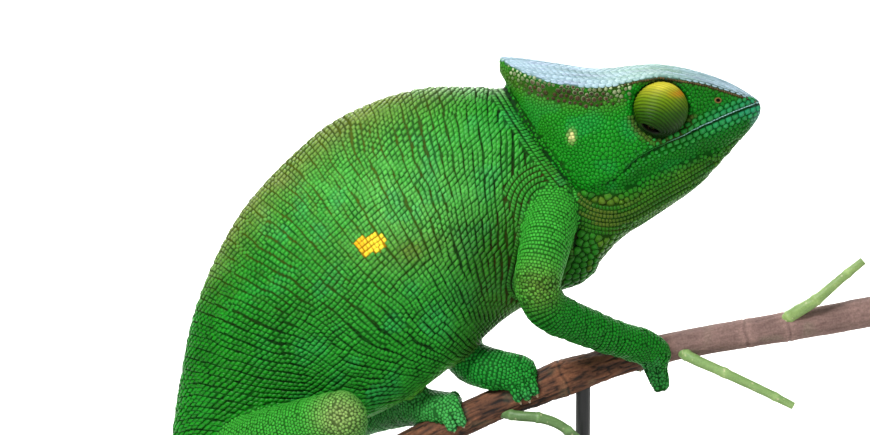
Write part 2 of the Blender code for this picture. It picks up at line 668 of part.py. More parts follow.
def make_twigs(green):
    """The side shoots, cut short, growing from the branch."""
    for name, rows in TWIGS.items():
        twig = add_part(name, loft(name, tube_rings(rows, 6, 6)), green)
        cut(twig, BRANCH_CUTTER)


def make_base(wood):
    """The flat base with rounded edges."""
    bpy.ops.mesh.primitive_cube_add(size=1.0, location=(0.0, 0.0, BASE_HEIGHT * MM / 2))
    base = bpy.context.object
    base.name = "stand_base"
    base.data.transform(Matrix.Diagonal((BASE_LENGTH * MM, BASE_DEPTH * MM, BASE_HEIGHT * MM, 1)))
    base.data.materials.append(wood)
    for collection in list(base.users_collection):
        collection.objects.unlink(base)
    PARTS.objects.link(base)
    upright = base.data.attributes.new("bevel_weight_edge", "FLOAT", "EDGE")
    for edge in base.data.edges:
        ends = [base.data.vertices[k].co for k in edge.vertices]
        upright.data[edge.index].value = float(abs(ends[0].z - ends[1].z) > 0.5 * BASE_HEIGHT * MM)
    corners = base.modifiers.new("corners", "BEVEL")
    corners.limit_method = "WEIGHT"
    corners.width = BASE_CORNER * MM
    corners.segments = 4
    rim = base.modifiers.new("rim", "BEVEL")
    rim.limit_method = "ANGLE"
    rim.angle_limit = math.radians(60.0)
    rim.width = BASE_EDGE * MM
    rim.segments = 2
    base.data.shade_smooth()
    base.data.set_sharp_from_angle(angle=math.radians(30.0))


def make_rods(steel):
    """Two turned rods with round feet, from the base up to the branch."""
    for name, x in ROD_PLACES.items():
        top = branch_at(x)[0][2]
        profile = [(BASE_HEIGHT + GAP, ROD_FOOT_RADIUS),
                   (BASE_HEIGHT + GAP + 0.6 * ROD_FOOT_HEIGHT, ROD_FOOT_RADIUS),
                   (BASE_HEIGHT + GAP + ROD_FOOT_HEIGHT, ROD_RADIUS + ROD_FOOT_SHOULDER),
                   (BASE_HEIGHT + GAP + 2 * ROD_FOOT_HEIGHT, ROD_RADIUS),
                   (top, ROD_RADIUS)]
        place = Matrix.Translation(Vector((x, 0.0, 0.0)))
        rod = add_part(name, turned(name, profile, place, 16), steel)
        cut(rod, BRANCH_CUTTER)


clear_scene()
PARTS = new_collection("chameleon")
CUTTERS = new_collection("cutters")
SKIN = new_material("green_skin", (0.05, 0.30, 0.07), 0.55)
LID = new_material("yellow_green_lid", (0.42, 0.47, 0.05), 0.5)
EYE = new_material("dark_eye", (0.02, 0.02, 0.02), 0.1)
HORN = new_material("pale_horn", (0.55, 0.50, 0.36), 0.4)
BARK = new_material("brown_bark", (0.12, 0.07, 0.05), 0.85)
SHOOT = new_material("green_shoot", (0.22, 0.35, 0.12), 0.6)
WOOD = new_material("dark_wood", (0.05, 0.035, 0.03), 0.45)
STEEL = new_material("dark_steel", (0.16, 0.16, 0.17), 0.4, 1.0)

BRANCH_CUTTER = make_branch(BARK)
make_twigs(SHOOT)
TRUNK_CUTTER = make_trunk(SKIN)
HEAD_CUTTERS = make_head(SKIN, make_eyes(LID, EYE))
NECK_CUTTER = make_neck(SKIN, HEAD_CUTTERS, TRUNK_CUTTER)
BODY_CUTTERS = (TRUNK_CUTTER, NECK_CUTTER, *HEAD_CUTTERS)
LIMBS = {
    "hand_right": make_limb(("upper_arm_right", "forearm_right"), ARM_RIGHT, FOREARM_RIGHT,
                            "hand_right", SKIN, BODY_CUTTERS),
    "hand_left": make_limb(("upper_arm_left", "forearm_left"), ARM_LEFT, FOREARM_LEFT,
                           "hand_left", SKIN, BODY_CUTTERS),
    "foot_right": make_limb(("thigh_right", "shank_right"), THIGH_RIGHT, SHANK_RIGHT,
                            "foot_right", SKIN, BODY_CUTTERS),
    "foot_left": make_limb(("thigh_left", "shank_left"), THIGH_LEFT, SHANK_LEFT,
                           "foot_left", SKIN, BODY_CUTTERS)}
make_grips(SKIN, HORN, LIMBS)
make_tail(SKIN)
make_base(WOOD)
make_rods(STEEL)
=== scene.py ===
"""Parson's chameleon on a cut branch and a display stand: the looks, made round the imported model.

The animal faces +X with its right side to -Y. Lengths are in millimetres and are turned into
metres when a mesh is made.
"""

import math

import bpy
import numpy as np
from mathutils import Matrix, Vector
from mathutils.bvhtree import BVHTree
from mathutils.kdtree import KDTree


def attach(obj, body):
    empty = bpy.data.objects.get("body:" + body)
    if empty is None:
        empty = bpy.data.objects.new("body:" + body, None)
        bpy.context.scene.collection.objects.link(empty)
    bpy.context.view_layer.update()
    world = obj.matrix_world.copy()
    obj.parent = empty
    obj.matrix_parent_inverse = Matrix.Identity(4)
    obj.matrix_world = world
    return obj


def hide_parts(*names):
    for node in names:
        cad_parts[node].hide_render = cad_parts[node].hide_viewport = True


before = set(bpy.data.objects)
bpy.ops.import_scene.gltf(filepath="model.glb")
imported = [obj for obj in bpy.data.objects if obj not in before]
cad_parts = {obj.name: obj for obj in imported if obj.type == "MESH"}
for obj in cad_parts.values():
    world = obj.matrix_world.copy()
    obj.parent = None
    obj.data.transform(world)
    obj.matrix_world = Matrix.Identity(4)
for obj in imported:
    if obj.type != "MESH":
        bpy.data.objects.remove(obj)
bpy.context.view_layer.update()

# --- Display base --------------------------------------------------------------------------
# A flat board of beech with rounded corners, planed, stained nearly black and varnished satin.
# The stain sinks deeper into the open pores, so the grain shows as fine darker streaks.
MM = 0.001
GRAIN_LENGTH = 34.0
GRAIN_WIDTH = 1.1


def linear(colour):
    """An sRGB hex value as linear red, green, blue and alpha."""
    values = np.array([int(colour[k:k + 2], 16) for k in (1, 3, 5)]) / 255.0
    bright = ((values + 0.055) / 1.055) ** 2.4
    return (*np.where(values <= 0.04045, values / 12.92, bright), 1.0)


def add_node(tree, kind, settings=None, links=None):
    """Adds a node. Settings are socket values, options or ramp stops; links are socket sources."""
    node = tree.nodes.new(kind)
    for name, value in (settings or {}).items():
        if name == "stops":
            while len(node.color_ramp.elements) < len(value):
                node.color_ramp.elements.new(0.5)
            for element, (place, colour) in zip(node.color_ramp.elements, value):
                element.position = place
                element.color = linear(colour)
        elif isinstance(name, int) or name in node.inputs:
            node.inputs[name].default_value = value
        else:
            setattr(node, name, value)
    for name, source in (links or {}).items():
        tree.links.new(source, node.inputs[name])
    return node


def start_material(name, roughness, ior=1.5):
    """A new material. Returns it with its node tree and its shader."""
    material = bpy.data.materials.new(name)
    material.use_nodes = True
    tree = material.node_tree
    shader = tree.nodes["Principled BSDF"]
    shader.inputs["Roughness"].default_value = roughness
    shader.inputs["IOR"].default_value = ior
    return material, tree, shader


def dress(node_name, material):
    """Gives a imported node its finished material."""
    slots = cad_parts[node_name].data.materials
    slots.clear()
    slots.append(material)


beech, tree, shader = start_material("stained_beech", 0.38)
place = add_node(tree, "ShaderNodeTexCoord").outputs["Object"]
grain_place = add_node(tree, "ShaderNodeMapping", {
    "Scale": (1 / (GRAIN_LENGTH * MM), 1 / (GRAIN_WIDTH * MM), 1 / (GRAIN_WIDTH * MM))},
    {"Vector": place})
grain = add_node(tree, "ShaderNodeTexNoise", {"Scale": 1.0, "Detail": 6.0, "Roughness": 0.62},
                 {"Vector": grain_place.outputs["Vector"]})
stain = add_node(tree, "ShaderNodeValToRGB", {"stops": (
    (0.30, "#150D08"), (0.52, "#2E1C12"), (0.75, "#4A2F1E"))}, {"Fac": grain.outputs["Fac"]})
pores = add_node(tree, "ShaderNodeBump", {"Strength": 0.25, "Distance": 0.12 * MM},
                 {"Height": grain.outputs["Fac"]})
tree.links.new(stain.outputs["Color"], shader.inputs["Base Color"])
tree.links.new(pores.outputs["Normal"], shader.inputs["Normal"])
dress("stand_base", beech)

# --- Display rods --------------------------------------------------------------------------
# Two turned steel rods with round feet, screwed up through the base and powder coated black.
# Powder coat gives a faint orange peel and a soft, even gloss.
PEEL_SIZE = 0.9

powder, tree, shader = start_material("powder_coated_steel", 0.42)
shader.inputs["Base Color"].default_value = linear("#17181A")
place = add_node(tree, "ShaderNodeTexCoord").outputs["Object"]
peel = add_node(tree, "ShaderNodeTexNoise", {"Scale": 1 / (PEEL_SIZE * MM), "Detail": 2.0},
                {"Vector": place})
skin_of_paint = add_node(tree, "ShaderNodeBump", {"Strength": 0.2, "Distance": 0.05 * MM},
                         {"Height": peel.outputs["Fac"]})
tree.links.new(skin_of_paint.outputs["Normal"], shader.inputs["Normal"])
dress("stand_rod_front", powder)
dress("stand_rod_rear", powder)

# --- Perch branch --------------------------------------------------------------------------
# A cut length of a living branch. Its bark is dry, brown and fibrous where the feet hold it,
# and smoother, greyer and pinker towards the thick end. Both ends are sawn and show the wood.
BRANCH = np.array([
    (-63.0, 88.4, 5.6), (-42.5, 100.1, 5.9), (-15.9, 115.0, 5.9), (10.6, 128.3, 5.9),
    (25.0, 134.3, 6.0), (39.9, 140.5, 6.7), (53.0, 144.8, 5.8), (67.0, 149.0, 5.5),
    (88.0, 153.7, 5.3), (116.0, 158.4, 5.4), (147.6, 164.1, 5.6), (162.0, 167.0, 5.5)])
BARK_ROWS = 620
BARK_SIDES = 104
BARK_DEPTH = 0.45
SMOOTH_BARK_FROM = 66.0
NODE_SCARS = (40.3, 104.0, 118.5)
LONG_FIBRE = (8.0, 1.2, 1.2)
FINE_FIBRE = (3.2, 0.55, 0.55)
CRACK_SIZE = (5.0, 1.0, 1.0)
BARK_CRUMB = 0.7
WOOD_RINGS = 34.0


def smooth_curve(rows, at):
    """The Catmull-Rom curve through the rows: a cubic between each two, steered by the next."""
    at = np.clip(np.asarray(at, float), 0.0, len(rows) - 1.0)
    ends = np.vstack([2 * rows[0] - rows[1], rows, 2 * rows[-1] - rows[-2]])
    first = np.minimum(at.astype(int), len(rows) - 2)
    u = (at - first)[:, None]
    p0, p1, p2, p3 = (ends[first + k] for k in range(4))
    return 0.5 * (2 * p1 + (p2 - p0) * u + (2 * p0 - 5 * p1 + 4 * p2 - p3) * u ** 2
                  + (3 * p1 - p0 - 3 * p2 + p3) * u ** 3)


def smoothed(rows, count):
    """The smooth curve through the rows in an even count of steps."""
    return smooth_curve(rows, np.linspace(0.0, len(rows) - 1.0, count))


def unit(vectors):
    """Vectors brought to length one."""
    return vectors / np.maximum(np.linalg.norm(vectors, axis=-1, keepdims=True), 1e-9)


def dot(first, second):
    """The inner product of each two vectors."""
    return np.einsum("ij,ij->i", first, second)


def noise(points, size, seed=0):
    """Smooth random values from 0 to 1: one for each corner of a lattice, blended between."""
    q = np.asarray(points, float) / size
    corner = np.floor(q).astype(np.int64)
    f = q - corner
    f = f * f * (3 - 2 * f)
    total = np.zeros(q.shape[:-1])
    for offset in np.ndindex(2, 2, 2):
        c = corner + offset
        mixed = c[..., 0] * 374761393 + c[..., 1] * 668265263 + c[..., 2] * 974634777
        mixed = (mixed + seed * 1442695041) & 0xFFFFFFFF
        mixed = ((mixed ^ (mixed >> 13)) * 1274126177) & 0xFFFFFFFF
        value = ((mixed ^ (mixed >> 16)) & 0xFFFF) / 65535.0
        weight = np.prod(np.where(offset, f, 1 - f), axis=-1)
        total += weight * value
    return total


def tone(colour):
    """The linear red, green and blue of a hex value, as an array."""
    return np.array(linear(colour)[:3])


def mix(first, second, share):
    """Colours, as hex values or arrays, blended from first to second by a share from 0 to 1."""
    first, second = (tone(end) if isinstance(end, str) else np.asarray(end) for end in (first, second))
    share = np.clip(np.asarray(share, float), 0.0, 1.0)[..., None]
    return first * (1 - share) + second * share


def over(base, *coats):
    """A base colour with coats laid over it in their order, each a colour and its share."""
    for colour, share in coats:
        base = mix(base, colour, share)
    return base


def ramp(value, start, end):
    """A share that goes evenly from 0 where the value is at the start to 1 at the end."""
    return np.clip((value - start) / (end - start), 0, 1)


def near(distance, reach):
    """A soft bump: 1 at no distance, falling to nearly 0 at twice the reach."""
    return np.exp(-(distance / reach) ** 2)


def sweep(rows, count, reference):
    """Sections along the smooth curve through rows of x, y, z and radius.

    Returns centres, radii and two cross directions: the reference less its part along the
    curve, and the direction square to both.
    """
    dense = smoothed(rows, count)
    ahead = unit(np.gradient(dense[:, :3], axis=0))
    across = np.asarray(reference, float) - (ahead @ np.asarray(reference, float))[:, None] * ahead
    across = unit(across)
    return dense[:, :3], dense[:, 3], across, np.cross(ahead, across)


def full_turn(sides):
    """Even angles once round, from 0."""
    return np.linspace(0.0, 2 * math.pi, sides, endpoint=False)


def tube_points(centres, radii, across, up, turn):
    """Points round each centre: radius times the cosine across plus the sine upwards."""
    radii = np.broadcast_to(np.asarray(radii).reshape(len(centres), -1), (len(centres), len(turn)))
    ring = np.cos(turn)[:, None] * across[:, None] + np.sin(turn)[:, None] * up[:, None]
    return centres[:, None] + radii[..., None] * ring


def grid_faces(points, first=0):
    """Outward faces of a grid of points whose columns close: quads, and one face on each end."""
    cell = np.arange(points[..., 0].size).reshape(points.shape[:2])
    after = np.roll(cell, -1, axis=1)
    quads = np.stack([cell[:-1], after[:-1], after[1:], cell[1:]], -1).reshape(-1, 4)
    a, b, c, d = (points.reshape(-1, 3)[quads[:, k]] for k in range(4))
    inside_out = dot(a, np.cross(b, c) + np.cross(c, d)).sum() < 0
    faces = [*(quads + first).tolist(), (cell[0][::-1] + first).tolist(), (cell[-1] + first).tolist()]
    return [face[::-1] for face in faces] if inside_out else faces


def new_mesh(name, points, faces):
    """A mesh from points in millimetres and faces."""
    mesh = bpy.data.meshes.new(name)
    mesh.from_pydata((points.reshape(-1, 3) * MM).tolist(), [], faces)
    return mesh


def new_object(name, data):
    """An object put in the scene."""
    placed = bpy.data.objects.new(name, data)
    bpy.context.scene.collection.objects.link(placed)
    return placed


def grid_mesh(name, points, colours):
    """A closed, painted mesh from a grid of points."""
    mesh = new_mesh(name, points, grid_faces(points))
    paint(mesh, colours.reshape(-1, 3))
    mesh.shade_smooth()
    return mesh


def paint(mesh, colours):
    """Stores one colour for each vertex in the attribute that the materials read."""
    layer = mesh.color_attributes.new("tint", "FLOAT_COLOR", "POINT")
    values = np.ones((len(colours), 4), np.float32)
    values[:, :3] = colours
    layer.data.foreach_set("color", values.ravel())


def add_piece(name, mesh, material, slot, *replaced):
    """Puts a finished piece on the body and hides the imported nodes that it replaces."""
    piece = new_object(name, mesh)
    mesh.materials.append(material)
    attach(piece, "root")
    if replaced:
        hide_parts(*replaced)
    return piece


def painted_material(name, roughness, ior, specular=0.5, speck=None, detail=3.0, shade=None,
                     bump=None):
    """A material whose colours are painted on its mesh.

    A noise as fine as one speck shades them from the first share to the second, and raises the
    surface by a bump of some strength and depth.
    """
    material, tree, shader = start_material(name, roughness, ior)
    shader.inputs["Specular IOR Level"].default_value = specular
    colour = add_node(tree, "ShaderNodeVertexColor", {"layer_name": "tint"}).outputs["Color"]
    if speck:
        place = add_node(tree, "ShaderNodeTexCoord").outputs["Object"]
        specks = add_node(tree, "ShaderNodeTexNoise", {
            "Scale": 1 / (speck * MM), "Detail": detail}, {"Vector": place}).outputs["Fac"]
    if shade:
        share = add_node(tree, "ShaderNodeMapRange", {
            "From Min": 0.3, "From Max": 0.7, "To Min": shade[0], "To Max": shade[1]},
            {"Value": specks}).outputs["Result"]
        colour = add_node(tree, "ShaderNodeMix", {
            "data_type": "RGBA", "blend_type": "MULTIPLY", "Factor": 1.0},
            {6: colour, 7: share}).outputs[2]
    if bump:
        relief = add_node(tree, "ShaderNodeBump", {
            "Strength": bump[0], "Distance": bump[1] * MM}, {"Height": specks})
        tree.links.new(relief.outputs["Normal"], shader.inputs["Normal"])
    tree.links.new(colour, shader.inputs["Base Color"])
    return material


def bark_relief(along, place, rough):
    """Height of the bark: long fibres, finer fibres across them, and cracks where they part."""
    broad, fine, cracks = (noise(place / size, 1.0, seed) for size, seed in
                           ((LONG_FIBRE, 3), (FINE_FIBRE, 4), (CRACK_SIZE, 6)))
    lumps = noise(place, 9.0, 5)
    crack = np.clip(1 - np.abs(cracks - 0.5) / 0.13, 0, 1)
    relief = 0.9 * (broad - 0.5) + 0.7 * (fine - 0.5) - 0.6 * crack + 0.1
    relief = relief * rough + 0.7 * (lumps - 0.5)
    along = along + 1.6 * (noise(place, 4.0, 9) - 0.5)
    scars = sum(near(along - scar, 0.5) for scar in NODE_SCARS)
    collars = sum(near(along - scar, 2.4) for scar in NODE_SCARS)
    return relief - 0.7 * scars + 0.5 * collars


def sawn_shares(count):
    """Shares of the radius from the pith out to the bark, for a sawn end."""
    return np.linspace(0.03, 0.985, count)


branch_rows = np.column_stack([BRANCH[:, 0], np.zeros(len(BRANCH)), BRANCH[:, 1:]])
centres, radii, across, up = sweep(branch_rows, BARK_ROWS, (0.0, 1.0, 0.0))
turn = full_turn(BARK_SIDES)
along = centres[:, :1] + 0.0 * turn
place = tube_points(centres, radii, across, up, turn)
twisted = np.stack([centres[:, :1] * 1.13 + 0 * turn,
                    radii[:, None] * np.cos(turn + 0.012 * along),
                    radii[:, None] * np.sin(turn + 0.012 * along)], -1)
grey = ramp((along - SMOOTH_BARK_FROM) / 16.0 + 0.8 * (noise(place, 14.0, 7) - 0.5), 0, 1)
relief = bark_relief(along, twisted, 1.0 - 0.62 * grey)
bark_radii = radii[:, None] - 0.25 + BARK_DEPTH * relief
bark = tube_points(centres, bark_radii, across, up, turn)
brown = mix("#140803", "#845338", 0.38 + 0.85 * relief)
pink = mix("#4A3430", "#A08078", 0.5 + 0.55 * relief)
bark_colour = mix(brown, pink, grey)
bark_colour = mix(bark_colour, "#7D8A6A", 0.2 * np.clip(noise(place, 5.0, 8) * 3 - 2.1, 0, 1))
shares = sawn_shares(12)
sawn = []
sawn_colour = []
for end in (0, -1):
    face = centres[end] + shares[:, None, None] * (bark[end] - centres[end])
    rings = 0.5 + 0.5 * np.sin(shares * WOOD_RINGS)
    wood = mix("#B8925E", "#E0C493", rings)
    wood = mix(wood, "#6E4A2C", near(shares, 0.09) + near(shares - 1.0, 0.07))
    sawn.append(face if end == 0 else face[::-1])
    wood = np.repeat(wood[:, None], BARK_SIDES, 1)
    sawn_colour.append(wood if end == 0 else wood[::-1])
bark = np.vstack([sawn[0], bark, sawn[1]])
bark_colour = np.vstack([sawn_colour[0], bark_colour, sawn_colour[1]])

bark_material = painted_material(
    "dry_bark", 0.86, 1.5, speck=BARK_CRUMB, detail=4.0, shade=(0.72, 1.18), bump=(0.6, 0.15))
add_piece("branch_with_bark", grid_mesh("branch_with_bark", bark, bark_colour), bark_material,
          "branch_bark", "perch_branch")

# --- Green side shoots ---------------------------------------------------------------------
# Three young shoots of the same branch, cut short. Their bark is still green and smooth, with a
# waxy bloom, small pale pores and a swollen ring at each old leaf.
SHOOTS = {
    "twig_green": np.array([(17.0, -2.0, 128.4, 1.7), (24.0, -6.4, 128.2, 1.9),
                            (31.0, -7.6, 127.8, 1.9), (38.5, -7.8, 125.2, 1.8),
                            (47.0, -7.6, 118.4, 1.6)]),
    "twig_right": np.array([(80.0, -2.0, 151.0, 1.9), (85.0, -6.0, 148.6, 2.0),
                            (96.0, -8.6, 144.0, 1.8), (110.0, -10.0, 137.6, 1.6),
                            (120.0, -10.6, 132.6, 1.4)]),
    "twig_upper": np.array([(116.0, -1.0, 160.0, 2.0), (121.0, -4.0, 164.6, 2.3),
                            (128.0, -5.6, 169.4, 2.0), (136.0, -6.4, 176.6, 1.7),
                            (144.0, -6.8, 183.4, 1.5)])}
SHOOT_TONES = {"twig_green": ("#2C4A20", "#6C9054"), "twig_right": ("#4F7A38", "#93B06C"),
               "twig_upper": ("#4F7434", "#92AC64")}
SHOOT_ROWS = 190
SHOOT_SIDES = 36
SHOOT_PORE = 0.5

shoot_material = painted_material("green_shoot_bark", 0.5, 1.5, speck=SHOOT_PORE, shade=(0.85, 1.12))
turn = full_turn(SHOOT_SIDES)
for name, rows in SHOOTS.items():
    centres, radii, across, up = sweep(rows, SHOOT_ROWS, (0.0, 1.0, 0.2))
    run = np.linspace(0.0, 1.0, len(centres))[:, None] + 0 * turn
    place = tube_points(centres, radii, across, up, turn)
    bulge = near((run * 3.0) % 1.0 - 0.5, 0.07)
    bumps = noise(place * (0.25, 1.0, 1.0), 0.9, 11) - 0.5
    skin_radii = radii[:, None] * (0.97 + 0.14 * bulge) + 0.09 * bumps
    points = tube_points(centres, skin_radii, across, up, turn)
    dark, pale = (tone(value) for value in SHOOT_TONES[name])
    colours = mix(dark, pale, 0.25 + 0.6 * noise(place * (0.2, 1.0, 1.0), 1.7, 12) + 0.3 * bulge)
    colours = mix(colours, "#C9C59B", np.clip(noise(place, 1.1, 13) * 5 - 4.0, 0, 1))
    shares = sawn_shares(5)[::-1]
    tip = centres[-1] + shares[:, None, None] * (points[-1] - centres[-1])
    tip_colour = np.repeat(mix("#D8D7A5", "#8FA868", shares ** 4)[:, None], SHOOT_SIDES, 1)
    points = np.vstack([points, tip])
    colours = np.vstack([colours, tip_colour])
    add_piece("shoot_" + name.split("_")[1], grid_mesh(name + "_shoot", points, colours),
              shoot_material, "green_shoot", name)

# --- Skin ----------------------------------------------------------------------------------
# One hide over the whole animal, satin and dry, loose enough to fold: in bands across the
# flanks, in a deep crease behind the head, round the throat and at the bends of the legs.
# Bump for its finest creases comes from the material, the folds are in the mesh.
TRUNK = np.array([
    (20.2, 243.1, 46.0, 174.0, 15.0), (8.7, 243.8, 32.0, 169.2, 17.5),
    (-8.0, 243.6, 19.4, 161.9, 19.5), (-24.0, 239.6, 5.0, 148.6, 20.7),
    (-41.8, 231.2, -12.0, 135.3, 21.0), (-57.5, 217.7, -27.0, 127.3, 20.5),
    (-71.7, 202.0, -42.0, 121.8, 19.0), (-82.0, 184.5, -55.0, 116.5, 17.0),
    (-90.5, 163.0, -65.0, 111.0, 14.5), (-95.5, 139.0, -72.0, 105.4, 12.3),
    (-98.8, 117.5, -77.5, 101.0, 10.6), (-100.0, 103.0, -82.0, 97.0, 9.4)])
NECK_FRONT = np.array((21.5, 242.2, 51.5, 178.6, 14.4))
NECK_BOW = 11.0
SKULL = np.array([
    (16.9, 254.8, 3.0, 253.6, 2.9, 251.6, 2.6, 250.2, 1.8, 248.8),
    (20.5, 254.3, 7.0, 251.6, 6.6, 247.8, 6.0, 245.2, 4.5, 242.8),
    (25.0, 254.0, 11.0, 249.6, 10.2, 244.0, 10.0, 239.0, 7.5, 232.8),
    (32.0, 253.0, 14.8, 247.2, 13.8, 240.0, 14.5, 232.0, 11.0, 223.2),
    (41.0, 251.6, 17.3, 245.7, 16.2, 238.0, 17.8, 226.0, 14.0, 213.0),
    (49.0, 250.4, 18.0, 245.0, 16.8, 237.0, 19.0, 223.0, 16.0, 209.6),
    (56.0, 250.5, 17.6, 245.7, 16.8, 238.0, 19.0, 224.0, 17.0, 212.8),
    (64.0, 251.4, 16.8, 247.6, 16.2, 240.0, 18.0, 228.0, 16.8, 219.8),
    (72.0, 251.8, 15.2, 248.4, 14.8, 241.0, 16.4, 230.0, 15.4, 224.3),
    (80.0, 250.8, 13.2, 247.4, 13.0, 241.5, 14.0, 233.0, 13.4, 227.6),
    (88.0, 248.8, 11.0, 245.8, 11.2, 241.5, 11.7, 236.0, 11.2, 231.1),
    (96.0, 246.0, 8.6, 243.2, 9.0, 240.5, 9.4, 237.2, 9.0, 234.3),
    (102.5, 242.6, 6.0, 240.9, 6.6, 239.4, 6.9, 237.9, 6.6, 236.6),
    (106.6, 239.8, 3.6, 239.2, 3.9, 238.8, 4.0, 238.3, 3.8, 237.8),
    (108.0, 239.0, 1.2, 238.8, 1.3, 238.6, 1.4, 238.3, 1.2, 238.1)])
JAW = np.array([
    (54.0, 206.8, 15.4), (60.0, 207.4, 17.0), (68.0, 210.8, 15.8), (76.0, 213.6, 14.2),
    (86.0, 217.5, 11.7), (95.0, 221.2, 9.2), (102.0, 225.6, 6.6), (106.3, 230.6, 4.2),
    (108.4, 234.2, 1.9)])
THROAT = np.array([
    (48.5, 176.6, 13.8), (54.0, 183.6, 14.4), (60.0, 190.2, 14.4), (68.3, 195.7, 13.0),
    (77.7, 202.0, 11.2), (84.4, 206.5, 9.4), (91.4, 213.2, 7.2), (95.4, 217.6, 5.4),
    (99.4, 222.2, 3.6), (103.0, 226.6, 1.8)])
THROAT_TOP = 210.5
THROAT_LAP = 3.0
LEGS = {
    "upper_arm_right": np.array([
        (36.0, -6.0, 207.0, 8.5), (34.9, -15.0, 199.0, 9.2), (32.0, -24.0, 189.4, 9.0),
        (29.4, -30.5, 179.5, 8.2)]),
    "forearm_right": np.array([
        (29.4, -30.5, 178.0, 8.0), (34.0, -28.0, 169.5, 7.8), (46.0, -22.0, 163.0, 7.2),
        (58.0, -16.2, 157.4, 6.7), (67.0, -11.8, 154.0, 6.5), (71.8, -9.6, 150.8, 5.9)]),
    "upper_arm_left": np.array([
        (36.0, 6.0, 203.0, 8.5), (30.0, 15.0, 195.0, 9.0), (19.0, 23.5, 187.0, 8.6),
        (8.5, 29.0, 180.5, 7.9)]),
    "forearm_left": np.array([
        (8.0, 29.0, 179.0, 7.7), (4.8, 27.0, 170.0, 7.8), (3.6, 18.5, 157.0, 7.8),
        (5.5, 8.6, 146.6, 7.9), (14.5, -0.4, 143.8, 7.7), (24.6, -2.6, 142.9, 6.6)]),
    "thigh_right": np.array([
        (-78.0, -6.0, 117.0, 8.6), (-67.0, -17.0, 122.5, 9.2), (-52.0, -28.5, 129.5, 9.0),
        (-37.5, -36.5, 135.0, 8.6)]),
    "shank_right": np.array([
        (-36.0, -37.0, 133.5, 8.4), (-37.0, -32.5, 124.0, 7.6), (-41.0, -21.5, 114.0, 6.8),
        (-44.5, -9.5, 107.6, 6.0), (-43.0, -1.5, 107.4, 4.6)]),
    "thigh_left": np.array([
        (-78.0, 6.0, 114.0, 8.4), (-68.0, 18.0, 112.5, 8.8), (-55.0, 30.0, 112.0, 8.4),
        (-42.5, 37.0, 113.0, 7.8)]),
    "shank_left": np.array([
        (-41.0, 37.5, 114.0, 7.6), (-32.0, 32.5, 119.5, 7.2), (-20.0, 19.0, 125.0, 6.9),
        (-10.5, 6.0, 128.8, 6.8), (-1.6, -1.6, 129.6, 6.2)])}
TAIL_DROP = np.array([(-91.0, 100.0), (-93.4, 86.0), (-94.9, 72.0), (-95.0, 58.0)])
SPIRAL_CENTRE = (-70.0, 58.0)
SPIRAL_RADII = (25.0, 5.5)
SPIRAL_TURNS = 1.5
TAIL_RADII = (9.3, 6.9, 1.4)
GRIP_PLACES = {"hand_right": 69.0, "hand_left": 27.2, "foot_right": -43.5, "foot_left": 1.9}
# Each bundle of toes: its place on the branch, its side, the toes, their spacing, and the angles
# round the branch where the clefts between them start and where the toes end
TOES = ((71.4, -1, 2, 4.6, 92.0, 146.0), (66.0, 1, 3, 3.4, 60.0, 140.0),
        (27.2, -1, 3, 3.7, 46.0, 93.0), (26.0, 1, 2, 4.6, 50.0, 125.0),
        (-43.5, -1, 3, 4.4, 50.0, 135.0), (-43.5, 1, 2, 4.8, 50.0, 130.0),
        (1.9, -1, 2, 4.3, 44.0, 88.0), (0.6, 1, 3, 4.2, 50.0, 125.0))
HAND_REACH = 15.5
TURRET_CENTRE = np.array((72.2, 13.4, 237.1))
TURRET_RADIUS = 9.6
COAT_DEPTH = 0.3
HIDE_WRINKLE = 0.8
VOXEL = 1.05
GAP_FILL = 0.45

forms = []


def keep_form(name, points, flesh=True):
    """Keeps a named surface of the body with its two directions and its unrolled places."""
    down = np.linalg.norm(np.diff(points, axis=0), axis=2).mean(1)
    around = np.linalg.norm(np.diff(points, axis=1), axis=2)
    middle = points.shape[1] // 2
    v = np.concatenate([np.zeros((len(points), 1)), np.cumsum(around, axis=1)], axis=1)
    u = np.concatenate([[0.0], np.cumsum(down)])[:, None] + 0.0 * v
    forms.append({"name": name, "points": points, "u": u, "v": v - v[:, middle:middle + 1],
                  "flesh": flesh})


def trunk_sections(rows, bows, turn):
    """Flat-sided sections, keeled along the back and widest a little below the middle.

    The middle line runs from back to belly, and the width is a power of the turn's sine.
    """
    back, belly = rows[:, None, 0:2], rows[:, None, 2:4]
    ahead = unit(belly - back)[..., ::-1] * (-1, 1)
    side = np.sin(turn)[None]
    keel = np.where(np.cos(turn) > 0, 1.2, 0.86)
    share = ((1 - np.cos(turn)) / 2)[None, :, None]
    middle = back + share * (belly - back) + (bows[:, None] * side ** 2)[..., None] * ahead
    width = rows[:, 4:] * np.sign(side) * np.abs(side) ** keel * (1 - 0.06 * np.cos(turn))
    return np.stack([middle[..., 0], width, middle[..., 1]], -1)


